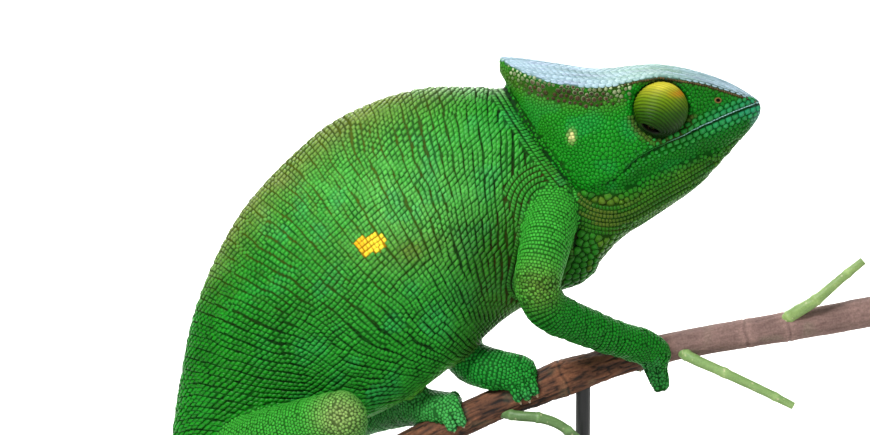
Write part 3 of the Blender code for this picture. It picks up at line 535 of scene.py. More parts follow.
def skull_sections(rows, finer):
    """Sections of the skull: a low roof, the casque's edge, the temple, the cheek and the lip.

    The corners of each section are joined by a closed Catmull-Rom curve.
    """
    x, roof, edge_y, edge_z, temple_y, temple_z, cheek_y, cheek_z, lip_y, lip_z = rows.T
    low_y, low_z = 0.45 * cheek_y + 0.55 * lip_y + 0.4, 0.5 * (cheek_z + lip_z)
    half_y = np.stack([0 * x, 0.5 * edge_y, 0.86 * edge_y, edge_y, 0.58 * edge_y + 0.4 * temple_y,
                       temple_y, 0.5 * temple_y + 0.52 * cheek_y, cheek_y, low_y, lip_y,
                       0.55 * lip_y, 0 * x], 1)
    half_z = np.stack([roof, 0.64 * roof + 0.36 * edge_z, 0.22 * roof + 0.78 * edge_z, edge_z,
                       0.6 * edge_z + 0.4 * temple_z, temple_z, 0.5 * (temple_z + cheek_z),
                       cheek_z, low_z, lip_z, lip_z, lip_z], 1)
    ring = np.stack([np.repeat(x[:, None], 22, 1), np.hstack([half_y, -half_y[:, -2:0:-1]]),
                     np.hstack([half_z, half_z[:, -2:0:-1]])], -1)
    wrapped = np.concatenate([ring[:, -1:], ring, ring[:, :2]], axis=1).transpose(1, 0, 2)
    at = np.linspace(1.0, 23.0, 22 * finer, endpoint=False)
    return smooth_curve(wrapped.reshape(25, -1), at).reshape(len(at), len(x), 3).transpose(1, 0, 2)


def bowl_sections(x, low, half_width, top):
    """U-shaped sections with a flat top: the depth is a power of the turn's sine."""
    turn = np.linspace(0.0, math.pi, 41)
    y = np.hstack([half_width[:, None] * np.cos(turn), half_width[:, None] * np.linspace(-.9, .9, 15)])
    bowl = top[:, None] - (top - low)[:, None] * np.sin(turn) ** 0.75
    z = np.hstack([bowl, np.repeat(top[:, None], 15, 1)])
    return np.stack([np.repeat(x[:, None], y.shape[1], 1), y, z], -1)


def round_tube(rows, count, sides, reference):
    """A tube along rows of x, y, z and radius whose two ends close like half balls."""
    centres, radii, across, up = sweep(rows, count, reference)
    cap = np.linspace(0.08, 0.5, 6) * math.pi
    shrink = np.sin(cap)
    lengthen = np.cos(cap)
    ahead = np.cross(across, up)
    start = centres[0] - np.outer(lengthen * radii[0], ahead[0])
    end = (centres[-1] + np.outer(lengthen * radii[-1], ahead[-1]))[::-1]
    centres = np.vstack([start, centres, end])
    radii = np.concatenate([radii[0] * shrink, radii, (radii[-1] * shrink)[::-1]])
    across = np.vstack([across[:1]] * 6 + [across] + [across[-1:]] * 6)
    up = np.vstack([up[:1]] * 6 + [up] + [up[-1:]] * 6)
    turn = full_turn(sides)
    return tube_points(centres, radii, across, up, turn)


def spiral_rows(turn):
    """Middle line of the coiled tail: a radius that shrinks evenly with the turn."""
    share = turn / (2 * math.pi * SPIRAL_TURNS)
    radius = SPIRAL_RADII[0] + (SPIRAL_RADII[1] - SPIRAL_RADII[0]) * share
    thick = TAIL_RADII[1] + (TAIL_RADII[2] - TAIL_RADII[1]) * share
    return np.column_stack([SPIRAL_CENTRE[0] - radius * np.cos(turn), 0 * turn,
                            SPIRAL_CENTRE[1] - radius * np.sin(turn), thick])


def branch_axis(x):
    """Centre, direction and radius of the branch at places along x."""
    station = np.interp(x, BRANCH[:, 0], np.arange(len(BRANCH)))
    here, before, after = (smooth_curve(BRANCH, station + step) for step in (0.0, -0.05, 0.05))
    ahead = unit(after - before)
    return (np.column_stack([here[:, 0], 0 * here[:, 0], here[:, 1]]),
            np.column_stack([ahead[:, 0], 0 * ahead[:, 0], ahead[:, 1]]), here[:, 2])


def from_branch(points):
    """The way out from the branch's axis to points, square to it, its length, the bark's radius."""
    centre, ahead, radius = branch_axis(points[:, 0])
    out = points - centre
    out -= (out * ahead).sum(1, keepdims=True) * ahead
    return out, np.linalg.norm(out, axis=1), radius


turn = np.linspace(-math.pi, math.pi, 144, endpoint=False)
neck_share = np.linspace(1.0, 0.0, 22)[:-1, None]
neck_rows = TRUNK[0] + (NECK_FRONT - TRUNK[0]) * neck_share
trunk_rows = np.vstack([neck_rows, smoothed(TRUNK, 130)])
bows = np.concatenate([NECK_BOW * neck_share[:, 0], np.zeros(130)])
keep_form("trunk", trunk_sections(trunk_rows, bows, turn))
skull = skull_sections(smoothed(SKULL, 110), 5)
keep_form("skull", np.roll(skull, 55, axis=1))
jaw_x, jaw_low, jaw_width = smoothed(JAW, 70).T
lip_height = np.interp(jaw_x, SKULL[:, 0], SKULL[:, 9])
keep_form("jaw", bowl_sections(jaw_x, jaw_low, jaw_width, lip_height + 0.2))
throat_x, throat_low, throat_width = smoothed(THROAT, 60).T
throat_top = np.maximum(np.interp(throat_x, JAW[:, 0], JAW[:, 1]) + THROAT_LAP, THROAT_TOP)
throat_top = np.maximum(throat_top, throat_low + 0.4)
keep_form("throat", bowl_sections(throat_x, throat_low, throat_width, throat_top))
for name, rows in LEGS.items():
    chord = rows[-1, :3] - rows[0, :3]
    keep_form(name, round_tube(rows, 44, 40, unit(np.cross(chord, (0.3, 0.2, 0.93)))))
drop = np.column_stack([TAIL_DROP[:, 0], np.zeros(4), TAIL_DROP[:, 1],
                        np.linspace(TAIL_RADII[0], TAIL_RADII[1], 4)])
coil_turn = np.linspace(0.0, 2 * math.pi * SPIRAL_TURNS, 190)
tail_rows = np.vstack([smoothed(drop, 30)[:-1], spiral_rows(coil_turn)])
keep_form("tail", round_tube(tail_rows, 260, 48, (0.0, 1.0, 0.0)))
for name, x in GRIP_PLACES.items():
    at = x + np.linspace(-12.0, 12.0, 25)
    centre, ahead, radius = branch_axis(at)
    side = np.repeat([[0.0, 1.0, 0.0]], len(at), 0)
    grip_turn = np.linspace(-1.5 * math.pi, 0.5 * math.pi, 48, endpoint=False)
    sleeve = tube_points(centre, radius + 4.0, side, np.cross(ahead, side), grip_turn)
    keep_form(name, sleeve, flesh=False)


def read_field(items, field, kind=np.float32, width=3):
    """One field of all of a mesh's vertices or corners, as rows of values."""
    flat = np.empty(len(items) * width, kind)
    items.foreach_get(field, flat)
    return flat.reshape(-1, width)


def nodes_copy(names, grow):
    """Points and faces, in millimetres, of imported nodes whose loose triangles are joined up.

    Each point is moved outwards by grow, so that neighbours meet.
    """
    points, faces, first = [], [], 0
    for name in names:
        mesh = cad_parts[name].data
        rounded = np.round(read_field(mesh.vertices, "co") / MM, 3)
        joined, which = np.unique(rounded, axis=0, return_inverse=True)
        corner = read_field(mesh.loops, "vertex_index", np.int32, 1)
        triangle = which.ravel()[corner].reshape(-1, 3)
        a, b, c = (joined[triangle[:, k]] for k in range(3))
        facing = np.cross(b - a, c - a)
        normal = np.zeros_like(joined)
        for k in range(3):
            np.add.at(normal, triangle[:, k], facing)
        points.append(joined + grow * unit(normal))
        faces.append(triangle + first)
        first += len(joined)
    return np.vstack(points), np.vstack(faces)


grip_nodes = [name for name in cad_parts
              if name.startswith(("hand_", "foot_")) and not name.startswith("claw")]
grip_points, grip_triangles = nodes_copy(grip_nodes, GAP_FILL)
all_points, all_faces, first = [grip_points], grip_triangles.tolist(), len(grip_points)
for form in forms:
    if form["flesh"]:
        all_faces += grid_faces(form["points"], first)
        all_points.append(form["points"].reshape(-1, 3))
        first += len(all_points[-1])
flesh = new_mesh("flesh", np.vstack(all_points), all_faces)
body = new_object("flesh", flesh)
union = body.modifiers.new("union", "REMESH")
union.mode = "VOXEL"
union.voxel_size = VOXEL * MM
graph = bpy.context.evaluated_depsgraph_get()
skin_mesh = bpy.data.meshes.new_from_object(body.evaluated_get(graph))
bpy.data.objects.remove(body)
bpy.data.meshes.remove(flesh)


def read_points(mesh):
    """Places of a mesh's vertices in millimetres."""
    return read_field(mesh.vertices, "co").astype(float) / MM


def read_normals(mesh):
    """Directions in which a mesh's vertices face."""
    return read_field(mesh.vertex_normals, "vector").astype(float)


def write_points(mesh, points):
    """Moves a mesh's vertices to places in millimetres."""
    mesh.vertices.foreach_set("co", (points * MM).astype(np.float32).ravel())
    mesh.update()


def tree_of(places):
    """A search tree of places."""
    tree = KDTree(len(places))
    for k, place in enumerate(places.tolist()):
        tree.insert(place, k)
    tree.balance()
    return tree


def find_nearest(tree, points):
    """Number of the tree's nearest point to each point."""
    return np.array([tree.find(point)[1] for point in points.tolist()])


grid_points = np.vstack([form["points"].reshape(-1, 3) for form in forms])
grid_form = np.concatenate([np.full(form["u"].size, k) for k, form in enumerate(forms)])
grid_u = np.concatenate([form["u"].ravel() for form in forms])
grid_v = np.concatenate([form["v"].ravel() for form in forms])
grid_down = np.vstack([unit(np.gradient(form["points"], axis=0)).reshape(-1, 3) for form in forms])
grid_around = np.vstack([unit(np.gradient(form["points"], axis=1)).reshape(-1, 3) for form in forms])
form_tree = tree_of(grid_points)
FORM = {form["name"]: k for k, form in enumerate(forms)}


def on_forms(form_id, *names):
    """True where the form is one of those named."""
    return np.isin(form_id, [FORM[name] for name in names])


def unroll(points):
    """The form that each point lies on, with its unrolled places along and round that form."""
    k = find_nearest(form_tree, points)
    apart = points - grid_points[k]
    u = grid_u[k] + dot(apart, grid_down[k])
    v = grid_v[k] + dot(apart, grid_around[k])
    return grid_form[k], u, v, grid_down[k], grid_around[k]


def rebuild_without_specks(mesh):
    """The same quads without the loose specks that the union leaves inside."""
    quads = read_field(mesh.loops, "vertex_index", np.int32, 1).reshape(-1, 4)
    points = read_points(mesh)
    label = np.arange(len(points))
    pairs = np.vstack([quads[:, :2], quads[:, 1:3], quads[:, 2:4]])
    while True:
        before = label.copy()
        low = np.minimum(label[pairs[:, 0]], label[pairs[:, 1]])
        np.minimum.at(label, pairs[:, 0], low)
        np.minimum.at(label, pairs[:, 1], low)
        label = label[label]
        if np.array_equal(before, label):
            break
    main = np.bincount(label).argmax()
    kept = label == main
    number = np.cumsum(kept) - 1
    quads = number[quads[kept[quads[:, 0]]]]
    bpy.data.meshes.remove(mesh)
    return new_mesh("skin", points[kept], quads.tolist()), quads


def even_out(points, pairs, count, rounds, strength):
    """Moves each point in each round towards its neighbours' average, by its own share."""
    for _ in range(rounds):
        total = np.stack([
            np.bincount(pairs[:, 0], points[pairs[:, 1], k], len(points))
            + np.bincount(pairs[:, 1], points[pairs[:, 0], k], len(points)) for k in range(3)], 1)
        points = points + strength[:, None] * (total / count[:, None] - points)
    return points


def line_distance(places, line):
    """Distance in the side view from places, in it or on the body, to a line of x and z points."""
    places = places if places.shape[1] == 2 else places[:, [0, 2]]
    start, step = line[:-1], np.diff(line, axis=0)
    apart = places[:, None] - start
    share = np.clip((apart * step).sum(-1) / (step ** 2).sum(-1), 0, 1)
    return np.linalg.norm(apart - share[..., None] * step, axis=-1).min(1)


# The flank's folds fan out from a point below the elbow, close together towards the arm. A fold
# forks where its band gets wide. Others arch over the shoulder or run beside the neck's crease.
FAN_CENTRE = np.array((22.8, 123.0))
FAN_ANGLES = (-0.68, 0.84, 1.20, 2.64)
FAN_NUMBERS = (0.0, 20.0, 27.0, 67.0)
FAN_LAST_ANGLE = 2.1
FORK_WIDTH = 6.0
FORK_LEVELS = 2
FOLD_RISE = 0.34
WANDER_SIZES = ((17.0, 3.4, 21), (6.0, 1.0, 23), (3.1, 0.75, 26))
ARCH_LINE = np.array([(34.0, 203.0), (29.0, 176.0)])
ARCH_PITCH = 1.9
ARCH_REACH = (9.5, 17.1)
CREASE_PITCH = 1.75
CREASE_REACH = 5.25
NECK_CREASE = np.array([(18.5, 244.5), (24.0, 235.2), (30.8, 225.2), (37.7, 215.9), (42.3, 209.8),
                        (43.4, 202.0), (44.4, 196.8), (43.6, 189.0)])
CHEST_FRONT = np.vstack([NECK_CREASE, (37.0, 170.0)])[::-1]
MOUTH = np.column_stack([SKULL[5:, 0], SKULL[5:, 9]])
JOWL = np.array([(42.3, 209.8), (47.5, 206.2), (53.0, 204.2), (60.0, 205.0)])
GULAR_LINE = np.array([(42.6, 211.0), (45.4, 207.4), (50.0, 204.4), (56.0, 203.4), (62.0, 205.0),
                       (70.0, 209.4), (80.0, 214.6), (90.0, 220.0)])
GULAR_PITCH = 1.5
GULAR_ROWS = 7
SPOT_CENTRE = np.array((-28.0, 191.3))
SPOT_REACH = (5.0, 3.7)
# How deep and how wide each crease is pressed into the hide, and how the lips beside it swell
CREASE_PRESS = (1.2, 1.2)
CREASE_LIP = (0.55, 1.4)
CREASE_LIP_AT = (-2.9, 0.0, -1.2)
JOWL_PRESS = (0.8, 1.1)
MOUTH_PRESS = (0.5, 0.75)
MOUTH_FROM = 48.0
GULAR_PRESS = 0.22
GULAR_REACH = 12.0
LEG_CREASE_PRESS = 0.42
SOCKET_PRESS = (0.9, 1.0)
SOCKET_LIP = (0.5, 1.1)
CLEFT_PRESS = (1.0, 0.62)
SKIN_OFF_BARK = 0.15

trunk_form = forms[FORM["trunk"]]
trunk_u = trunk_form["u"][:, 0]
half = trunk_form["points"].shape[1] // 2
flank_middle = trunk_form["points"][:, half // 2][:, [0, 2]]
flank_arc = -trunk_form["v"][:, half // 2]
flank_down = unit(trunk_form["points"][:, 0] - trunk_form["points"][:, half])[:, [0, 2]]
belly_arc = -trunk_form["v"][:, 0]


def flank_place(u, v):
    """Place in the flank's unrolled side view: the arc from the back laid out straight."""
    middle = np.stack([np.interp(u, trunk_u, flank_middle[:, k]) for k in range(2)], -1)
    down = np.stack([np.interp(u, trunk_u, flank_down[:, k]) for k in range(2)], -1)
    return middle + (np.abs(v) - np.interp(u, trunk_u, flank_arc))[..., None] * down


def flat_place(q):
    """Places of the side view with a third coordinate of zero."""
    return np.stack([q[..., 0], q[..., 1], 0 * q[..., 0]], -1)


def wander(q):
    """A drift of the folds in the side view, slow and quick, so that none runs straight."""
    q3 = flat_place(q)
    drift = [width * (np.stack([noise(q3, size, seed), noise(q3, size, seed + 1)], -1) - 0.5)
             for size, width, seed in WANDER_SIZES]
    return sum(drift)


def fan_slope(number):
    """Angle from one fold to the next at places in the fan's numbering."""
    part = np.clip(np.searchsorted(FAN_NUMBERS, number, "right") - 1, 0, len(FAN_NUMBERS) - 2)
    return (np.diff(FAN_ANGLES) / np.diff(FAN_NUMBERS))[part]


def fork_width(number, level):
    """The width at which a band forks, a little more or less for each band."""
    scatter = noise(np.stack([number * 7.31, number * 0 + level, number * 0], -1), 1.0, 25)
    return FORK_WIDTH * (0.8 + 0.4 * scatter)


def arch_reach(q):
    """How far the arches reach: further above the shoulder than behind it."""
    return np.interp(q[..., 1], (197.0, 209.0), ARCH_REACH)


def fold_zone(q):
    """Zone of flank places (0 fan, 1 arches, 2 beside the crease) with the distances it uses."""
    to_crease, to_arch = line_distance(q, NECK_CREASE), line_distance(q, ARCH_LINE)
    zone = np.where(to_arch < arch_reach(q), 1, 0)
    return np.where(to_crease < CREASE_REACH, 2, zone), to_crease, to_arch


def among_folds(q):
    """For flank places: distance from the nearest fold and the width of the band."""
    zone, to_crease, to_arch = fold_zone(q)
    apart = q - wander(q) - FAN_CENTRE
    radius = np.linalg.norm(apart, axis=-1)
    number = np.interp(np.arctan2(apart[..., 1], -apart[..., 0]), FAN_ANGLES, FAN_NUMBERS)
    width = fan_slope(number) * radius
    size = np.ones(width.shape)
    for level in range(FORK_LEVELS):
        forked = (size == 0.5 ** level) & (width > fork_width(np.floor(number), level))
        number, width, size = (np.where(forked, value * factor, value) for value, factor in
                               ((number, 2), (width, 0.5), (size, 0.5)))
    number = np.choose(zone, (number, to_arch / ARCH_PITCH, to_crease / CREASE_PITCH))
    width = np.choose(zone, (width, ARCH_PITCH, CREASE_PITCH))
    share = number - np.floor(number)
    return np.minimum(share, 1 - share) * width, width


def ahead_of_crease(places):
    """True in front of the neck's crease, where the hide is netted and not folded."""
    return places[:, 0] > np.interp(places[:, 2], CHEST_FRONT[:, 1], CHEST_FRONT[:, 0]) + 0.6


def pressed(distance, depth_and_width):
    """Depth at a distance from the middle of a crease."""
    return depth_and_width[0] * near(distance, depth_and_width[1])


def trunk_folds(points, u, v):
    """For the trunk: the side-view place, the distance from the nearest fold, the band's width."""
    q = flank_place(u, v)
    from_fold, width = among_folds(q)
    return q, np.where(ahead_of_crease(points), width / 2, from_fold), width


def among_toes(points):
    """Distance from the nearest cleft between two toes, and a share that is 1 at a toe's end."""
    cleft, tip = np.full(len(points), 9.0), np.zeros(len(points))
    for place, side, count, spacing, start, end in TOES:
        centre, ahead, _ = branch_axis(np.array([place]))
        apart = points - centre
        run, high = apart @ ahead[0], apart @ (-ahead[0, 2], 0.0, ahead[0, 0])
        angle = np.degrees(np.arctan2(side * apart[:, 1], high))
        angle = np.where(angle < -90.0, angle + 360.0, angle)
        here = (np.abs(run) < spacing * count / 2 + 2.0) & (angle > start)
        here &= np.hypot(apart[:, 1], high) < HAND_REACH
        number = run / spacing + count / 2
        distance = np.abs(number - np.clip(np.round(number), 1, count - 1)) * spacing
        distance += 2.0 * np.clip(1 - (angle - start) / 14.0, 0, 1)
        cleft = np.where(here, np.minimum(cleft, distance), cleft)
        tip = np.where(here, np.maximum(tip, np.clip((angle - end + 30.0) / 25.0, 0, 1)), tip)
    return cleft, tip


skin_mesh, skin_quads = rebuild_without_specks(skin_mesh)
skin_pairs = np.unique(np.sort(np.vstack([skin_quads[:, [k, (k + 1) % 4]] for k in range(4)]), 1), axis=0)
points = read_points(skin_mesh)
neighbours = np.bincount(skin_pairs.ravel(), minlength=len(points))
form_of, u, v, _, _ = unroll(points)
soft = np.full(len(points), 0.55)
soft[on_forms(form_of, "skull", "jaw")] = 0.14
soft[on_forms(form_of, *GRIP_PLACES)] = 0.12
points = even_out(points, skin_pairs, neighbours, 7, soft)
write_points(skin_mesh, points)
normals = read_normals(skin_mesh)
rise = np.full(len(points), -COAT_DEPTH)
on_trunk = form_of == FORM["trunk"]
_, from_fold, width = trunk_folds(points[on_trunk], u[on_trunk], v[on_trunk])
swell = np.sin(math.pi * from_fold / width) ** 0.7 - 0.6
rise[on_trunk] += FOLD_RISE * swell * np.clip((width - 1.2) / 2.6, 0.25, 1.2)
head_or_trunk = on_forms(form_of, "trunk", "skull", "throat", "jaw")
creased = head_or_trunk & (np.abs(points[:, 1]) > 4.0)
rise[creased] -= pressed(line_distance(points[creased], NECK_CREASE), CREASE_PRESS)
rise[creased] += pressed(line_distance(points[creased] - CREASE_LIP_AT, NECK_CREASE), CREASE_LIP)
rise[creased] -= pressed(line_distance(points[creased], JOWL), JOWL_PRESS)
at_mouth = head_or_trunk & (points[:, 0] > MOUTH_FROM)
rise[at_mouth] -= pressed(line_distance(points[at_mouth], MOUTH), MOUTH_PRESS)
under_jaw = form_of == FORM["throat"]
from_jowl = line_distance(points[under_jaw], GULAR_LINE)
pleats = GULAR_PRESS * np.cos(math.pi * from_jowl / GULAR_PITCH)
rise[under_jaw] -= pleats * near(from_jowl, GULAR_REACH)
on_leg = on_forms(form_of, *LEGS)
round_leg = np.stack([u / 2.6 + 0.5 * noise(points, 6.0, 31), v / 11.0, form_of * 3.7], -1)
creases = noise(round_leg, 1.0, 32)
rise[on_leg] -= LEG_CREASE_PRESS * np.clip(1 - np.abs(creases[on_leg] - 0.5) / 0.13, 0, 1)
turret_apart = [np.linalg.norm(points - TURRET_CENTRE * (1, side, 1), axis=1) for side in (-1, 1)]
socket_edge = np.minimum(*turret_apart) - TURRET_RADIUS
on_skull = form_of == FORM["skull"]
rise -= pressed(socket_edge - 0.2, SOCKET_PRESS) * on_skull
rise += pressed(socket_edge - 2.4, SOCKET_LIP) * on_skull
rise -= pressed(among_toes(points)[0], CLEFT_PRESS)
points = points + rise[:, None] * normals
out, reach, bark_radius = from_branch(points)
short = np.clip(bark_radius + SKIN_OFF_BARK - reach, 0, None) * (points[:, 0] > BRANCH[0, 0])
points = points + unit(out) * short[:, None]
write_points(skin_mesh, points)
skin_mesh.shade_smooth()
normals = read_normals(skin_mesh)


def trunk_colour(u, v, q, side):
    """Greens of the trunk: lighter and yellower high on the flank as a painted highlight, teal flecks, an
    olive back.
    """
    x, z = q[:, 0], q[:, 1]
    arc = np.abs(v)
    q3 = np.stack([x, z, 9.0 * side], -1)
    broad, patch, fleck = noise(q3, 21.0, 41), noise(q3, 6.5, 42), noise(q3, 2.6, 43)
    high = near(x + 16.0, 34.0) * near(z - 206.0, 25.0)
    olive = near(arc, 13.0) * ramp(x, 10, -20) * ramp(z, 166, 200)
    belly = near(np.interp(u, trunk_u, belly_arc) - arc, 7.0)
    by_spot = near(x + 16.0, 17.0) * near(z - 189.5, 6.5)
    front = (x - np.interp(z, CHEST_FRONT[:, 1], CHEST_FRONT[:, 0]) + 1.0) / 4.0
    return over(
        mix("#147A12", "#2C9A2E", 0.5 * broad + 0.5 * patch),
        # Painted highlight: a lighter, yellower green high on the flank, where the light falls
        ("#62B654", (0.52 + 0.6 * (fleck - 0.3)) * high),
        ("#1C9058", np.clip((patch - 0.55) * 2.5, 0, 0.4) * (0.2 + 0.8 * fleck)),
        (mix("#066206", "#12800C", patch), 0.85 * ramp(x, -36, -70) * ramp(z, 206, 166)),
        ("#7A8440", np.clip(olive * (0.5 + 0.8 * patch), 0, 0.8)),
        # Pale along the top of the back: its pale ridge scales, lightened further as painted sky light
        ("#A9C79A", 0.6 * near(arc, 5.0) * ramp(x, -22, -2)),
        ("#6C9A34", 0.4 * belly),
        ("#5B5E1C", by_spot * np.clip(patch * 1.6 - 0.15, 0, 0.7)),
        ("#265A0E", 0.75 * ramp(x, -4, 10) * ramp(z, 209, 189)),
        (mix("#146A10", "#2E7A1C", patch), front))


def in_gold(q):
    """True inside the yellow spot on the flank, an oval with a ragged edge."""
    ragged = 1.1 * (noise(flat_place(q), 2.4, 44) - 0.5)
    return (((q - SPOT_CENTRE) / SPOT_REACH) ** 2).sum(1) + ragged < 1.0


def fold_colour_and_shade(q):
    """Colour at the bottom of the flank's folds: olive high and behind, darkened as painted shade to nearly
    black below and forwards.
    """
    dark = np.clip((q[:, 0] + 26.0) / 40.0, 0, 1) + ramp(q[:, 1], 200, 160)
    colour = mix("#4C5A12", "#081A06", dark)
    return mix(colour, "#3E300C", 0.8 * near(line_distance(q, ARCH_LINE) - 13.0, 5.0))


def on_roof(points):
    """A share that is 1 on the casque's roof, above its edge."""
    below = np.interp(points[:, 0], SKULL[:, 0], SKULL[:, 3]) - points[:, 2]
    return np.clip(0.4 - below / 0.8, 0, 1)


def roof_blue_and_sky_sheen(points):
    """Pale blue of the casque's roof in lengthwise streaks, greener over the eyes: partly its own blue,
    partly painted reflection of the sky.
    """
    streaks = noise(points * (0.09, 0.9, 0.5), 1.0, 54) + 0.4 * (noise(points, 0.9, 87) - 0.5)
    lilac = np.clip(noise(points * (0.1, 0.9, 0.5), 1.0, 89) * 3 - 1.6, 0, 1)
    green = near(points[:, 0] - 68.0, 15.0) * (0.35 + 0.5 * streaks)
    return over(mix("#B4D0E0", "#74959C", 1.2 * streaks - 0.15), ("#8F97B8", 0.5 * lilac),
                ("#72A27A", green))


def head_colour(points):
    """Greens of the head: a pale blue roof with painted sky reflection, a brown line under its edge, an
    olive throat.
    """
    x, _, z = points.T
    patch, fleck = noise(points, 7.0, 51), noise(points, 1.6, 52)
    lip = np.interp(x, MOUTH[:, 0], MOUTH[:, 1])
    under = ramp(np.interp(x, JAW[:, 0], JAW[:, 1]) + 2.6 - z + 3.0 * (patch - 0.5), 0, 5)
    streak = noise(points * (0.12, 0.3, 0.75), 1.0, 53)
    gular = over(mix("#1E640C", "#447414", streak),
                 ("#6E6A24", 0.5 * np.clip((streak - 0.6) * 3, 0, 1) * (x < 62)))
    below = np.interp(x, SKULL[:, 0], SKULL[:, 3]) - z
    by_eye = np.linalg.norm(np.abs(points) - TURRET_CENTRE, axis=1) - TURRET_RADIUS - 1.6
    return over(
        mix("#04700A", "#16921C", 0.55 * patch + 0.45 * fleck),
        ("#0E8A48", np.clip((patch - 0.6) * 3.0, 0, 0.3)),
        ("#227C0C", 0.5 * near(x - 27.0, 11.0)),
        ("#066004", 0.7 * ramp(x, 78, 88)),
        ("#065E08", 0.5 * ramp(lip - z, 0, 4)),
        ("#0F8850", 0.4 * near(z - lip, 4.0) * (x > 88)),
        (gular, under),
        ("#46341C", 0.85 * near(below - 0.8, 0.8) * (x > 48)),
        ("#4E6A22", 0.6 * near(below - 4.5, 3.6) * (x < 60)),
        (roof_blue_and_sky_sheen(points), on_roof(points)),
        ("#7FB8B4", 0.6 * ramp(x, 103.5, 107.5)),
        # Painted shade: dark olive round the lower part of each eye turret's base
        ("#4A4E1C", 0.8 * near(by_eye, 1.3) * (z < TURRET_CENTRE[2] - 2.0)),
        ("#D2CE86", 1.2 * near(x - 41.6, 1.0) * near(z - 228.2, 1.8)))


def leg_colour(points, form_id, u):
    """Greens of the legs and tail: brightest on the hands, with a painted highlight on the toes' ends,
    olive-brown at elbow and knee.
    """
    patch, fleck = noise(points, 6.0, 61), noise(points, 1.8, 62)
    upper = [name for name in LEGS if name.startswith(("upper", "thigh"))]
    coats = [("#3FA432", 0.55 * on_forms(form_id, *upper)),
             # Painted highlight: the toes' ends are paler and bluer
             ("#6CC48A", 0.35 * among_toes(points)[1]),
             ("#056A10", 0.75 * on_forms(form_id, "hand_right", "forearm_right")),
             ("#1E8C34", 0.55 * on_forms(form_id, "hand_left", "forearm_left", "foot_right")),
             ("#4CAE58", 0.55 * on_forms(form_id, "foot_left", "shank_left"))]
    for name in upper:
        joint = np.linalg.norm(points - LEGS[name][-1, :3] * (1, 1.12, 1), axis=1)
        shade, share = ("#9CA866", 0.95) if "thigh" in name else ("#6E7C34", 0.7)
        coats.append((shade, share * near(joint, 7.4) * (0.6 + 0.6 * patch)))
    ring = 0.5 + 0.5 * np.sin(u / 7.5)
    banded = mix("#107E16", "#389A34", 0.6 * ring + 0.4 * patch)
    banded = mix(mix("#066206", "#148A10", patch), banded, (u - 8.0) / 60.0)
    return over(mix("#0B7512", "#26942A", 0.5 * patch + 0.5 * fleck), *coats,
                (banded, on_forms(form_id, "tail")))


def coat_colour(points, form_id, u, v):
    """The markings, the same for the skin and for the scales on it."""
    colour = leg_colour(points, form_id, u)
    head = on_forms(form_id, "skull", "jaw", "throat")
    colour[head] = head_colour(points[head])
    trunk = form_id == FORM["trunk"]
    q = flank_place(u[trunk], v[trunk])
    colour[trunk] = trunk_colour(u[trunk], v[trunk], q, np.sign(points[trunk, 1]))
    return colour


form_of, u, v, _, _ = unroll(points)
# The skin shows only in the grooves between the scales; its colour is darkened there as painted shade, to
# about a third, to a half on the head, less on the casque's roof
groove_shade_share = np.where(on_forms(form_of, "skull", "jaw"), 0.5, 0.34)
groove_shade_share = np.maximum(groove_shade_share, 0.8 * on_roof(points) * on_forms(form_of, "skull"))
shaded_ground = coat_colour(points, form_of, u, v) * groove_shade_share[:, None]
on_trunk = form_of == FORM["trunk"]
flank, from_fold, _ = trunk_folds(points[on_trunk], u[on_trunk], v[on_trunk])
# The folds' bottoms take the fold's olive colour with its painted shade; in the yellow spot the grooves are
# a darker brown-gold, partly painted shade
shaded_ground[on_trunk] = mix(shaded_ground[on_trunk], fold_colour_and_shade(flank), near(from_fold, 0.4))
shaded_ground[on_trunk] = np.where(in_gold(flank)[:, None], tone("#A8760E"), shaded_ground[on_trunk])
in_crease, in_mouth = (line_distance(points, line) for line in (NECK_CREASE, MOUTH))
by_mouth = (points[:, 0] > MOUTH_FROM) & ~on_trunk
# Painted shade: near black in the neck's crease, round the eye sockets, in the clefts between the toes and
# in the slit of the mouth
paint(skin_mesh, over(
    shaded_ground,
    ("#06180A", 0.85 * near(in_crease, 1.2) * on_forms(form_of, "trunk", "skull", "throat")),
    ("#060E06", 0.95 * near(socket_edge, 0.9) * on_forms(form_of, "skull")),
    ("#062009", 0.8 * near(among_toes(points)[0], 0.5)),
    ("#07150C", 0.9 * near(in_mouth, 0.5) * by_mouth)))

# The unrolled forms are laid side by side, tallest first, in rows on a square
islands = sorted(forms, key=lambda form: -np.ptp(form["v"]))
ISLAND_MARGIN = 6.0
SHEET_WIDTH = 400.0
pen_x, pen_y, row_height = ISLAND_MARGIN, ISLAND_MARGIN, 0.0
for form in islands:
    length, height = np.ptp(form["u"]), np.ptp(form["v"])
    if pen_x + length + ISLAND_MARGIN > SHEET_WIDTH:
        pen_x, pen_y, row_height = ISLAND_MARGIN, pen_y + row_height + ISLAND_MARGIN, 0.0
    form["at"] = (pen_x, pen_y - form["v"].min())
    pen_x += length + ISLAND_MARGIN
    row_height = max(row_height, height)
SHEET = max(SHEET_WIDTH, pen_y + row_height + ISLAND_MARGIN)
island_at = np.array([form["at"] for form in forms])


def sheet_place(form_id, u, v):
    """Place on the unwrap, from 0 to 1, of unrolled places on the forms."""
    return (island_at[form_id] + np.stack([u, v], -1)) / SHEET


def unwrap_faces(mesh, quads, points):
    """Gives each face its own flat piece of the unwrap, at its middle's place on its form."""
    middle = points[quads].mean(1)
    form_id, u, v, down, around = unroll(middle)
    apart = points[quads] - middle[:, None]
    du = np.einsum("ijk,ik->ij", apart, down)
    dv = np.einsum("ijk,ik->ij", apart, around)
    place = sheet_place(form_id[:, None], u[:, None] + du, v[:, None] + dv)
    layer = mesh.uv_layers.new(name="OFBake")
    layer.uv.foreach_set("vector", place.astype(np.float32).ravel())


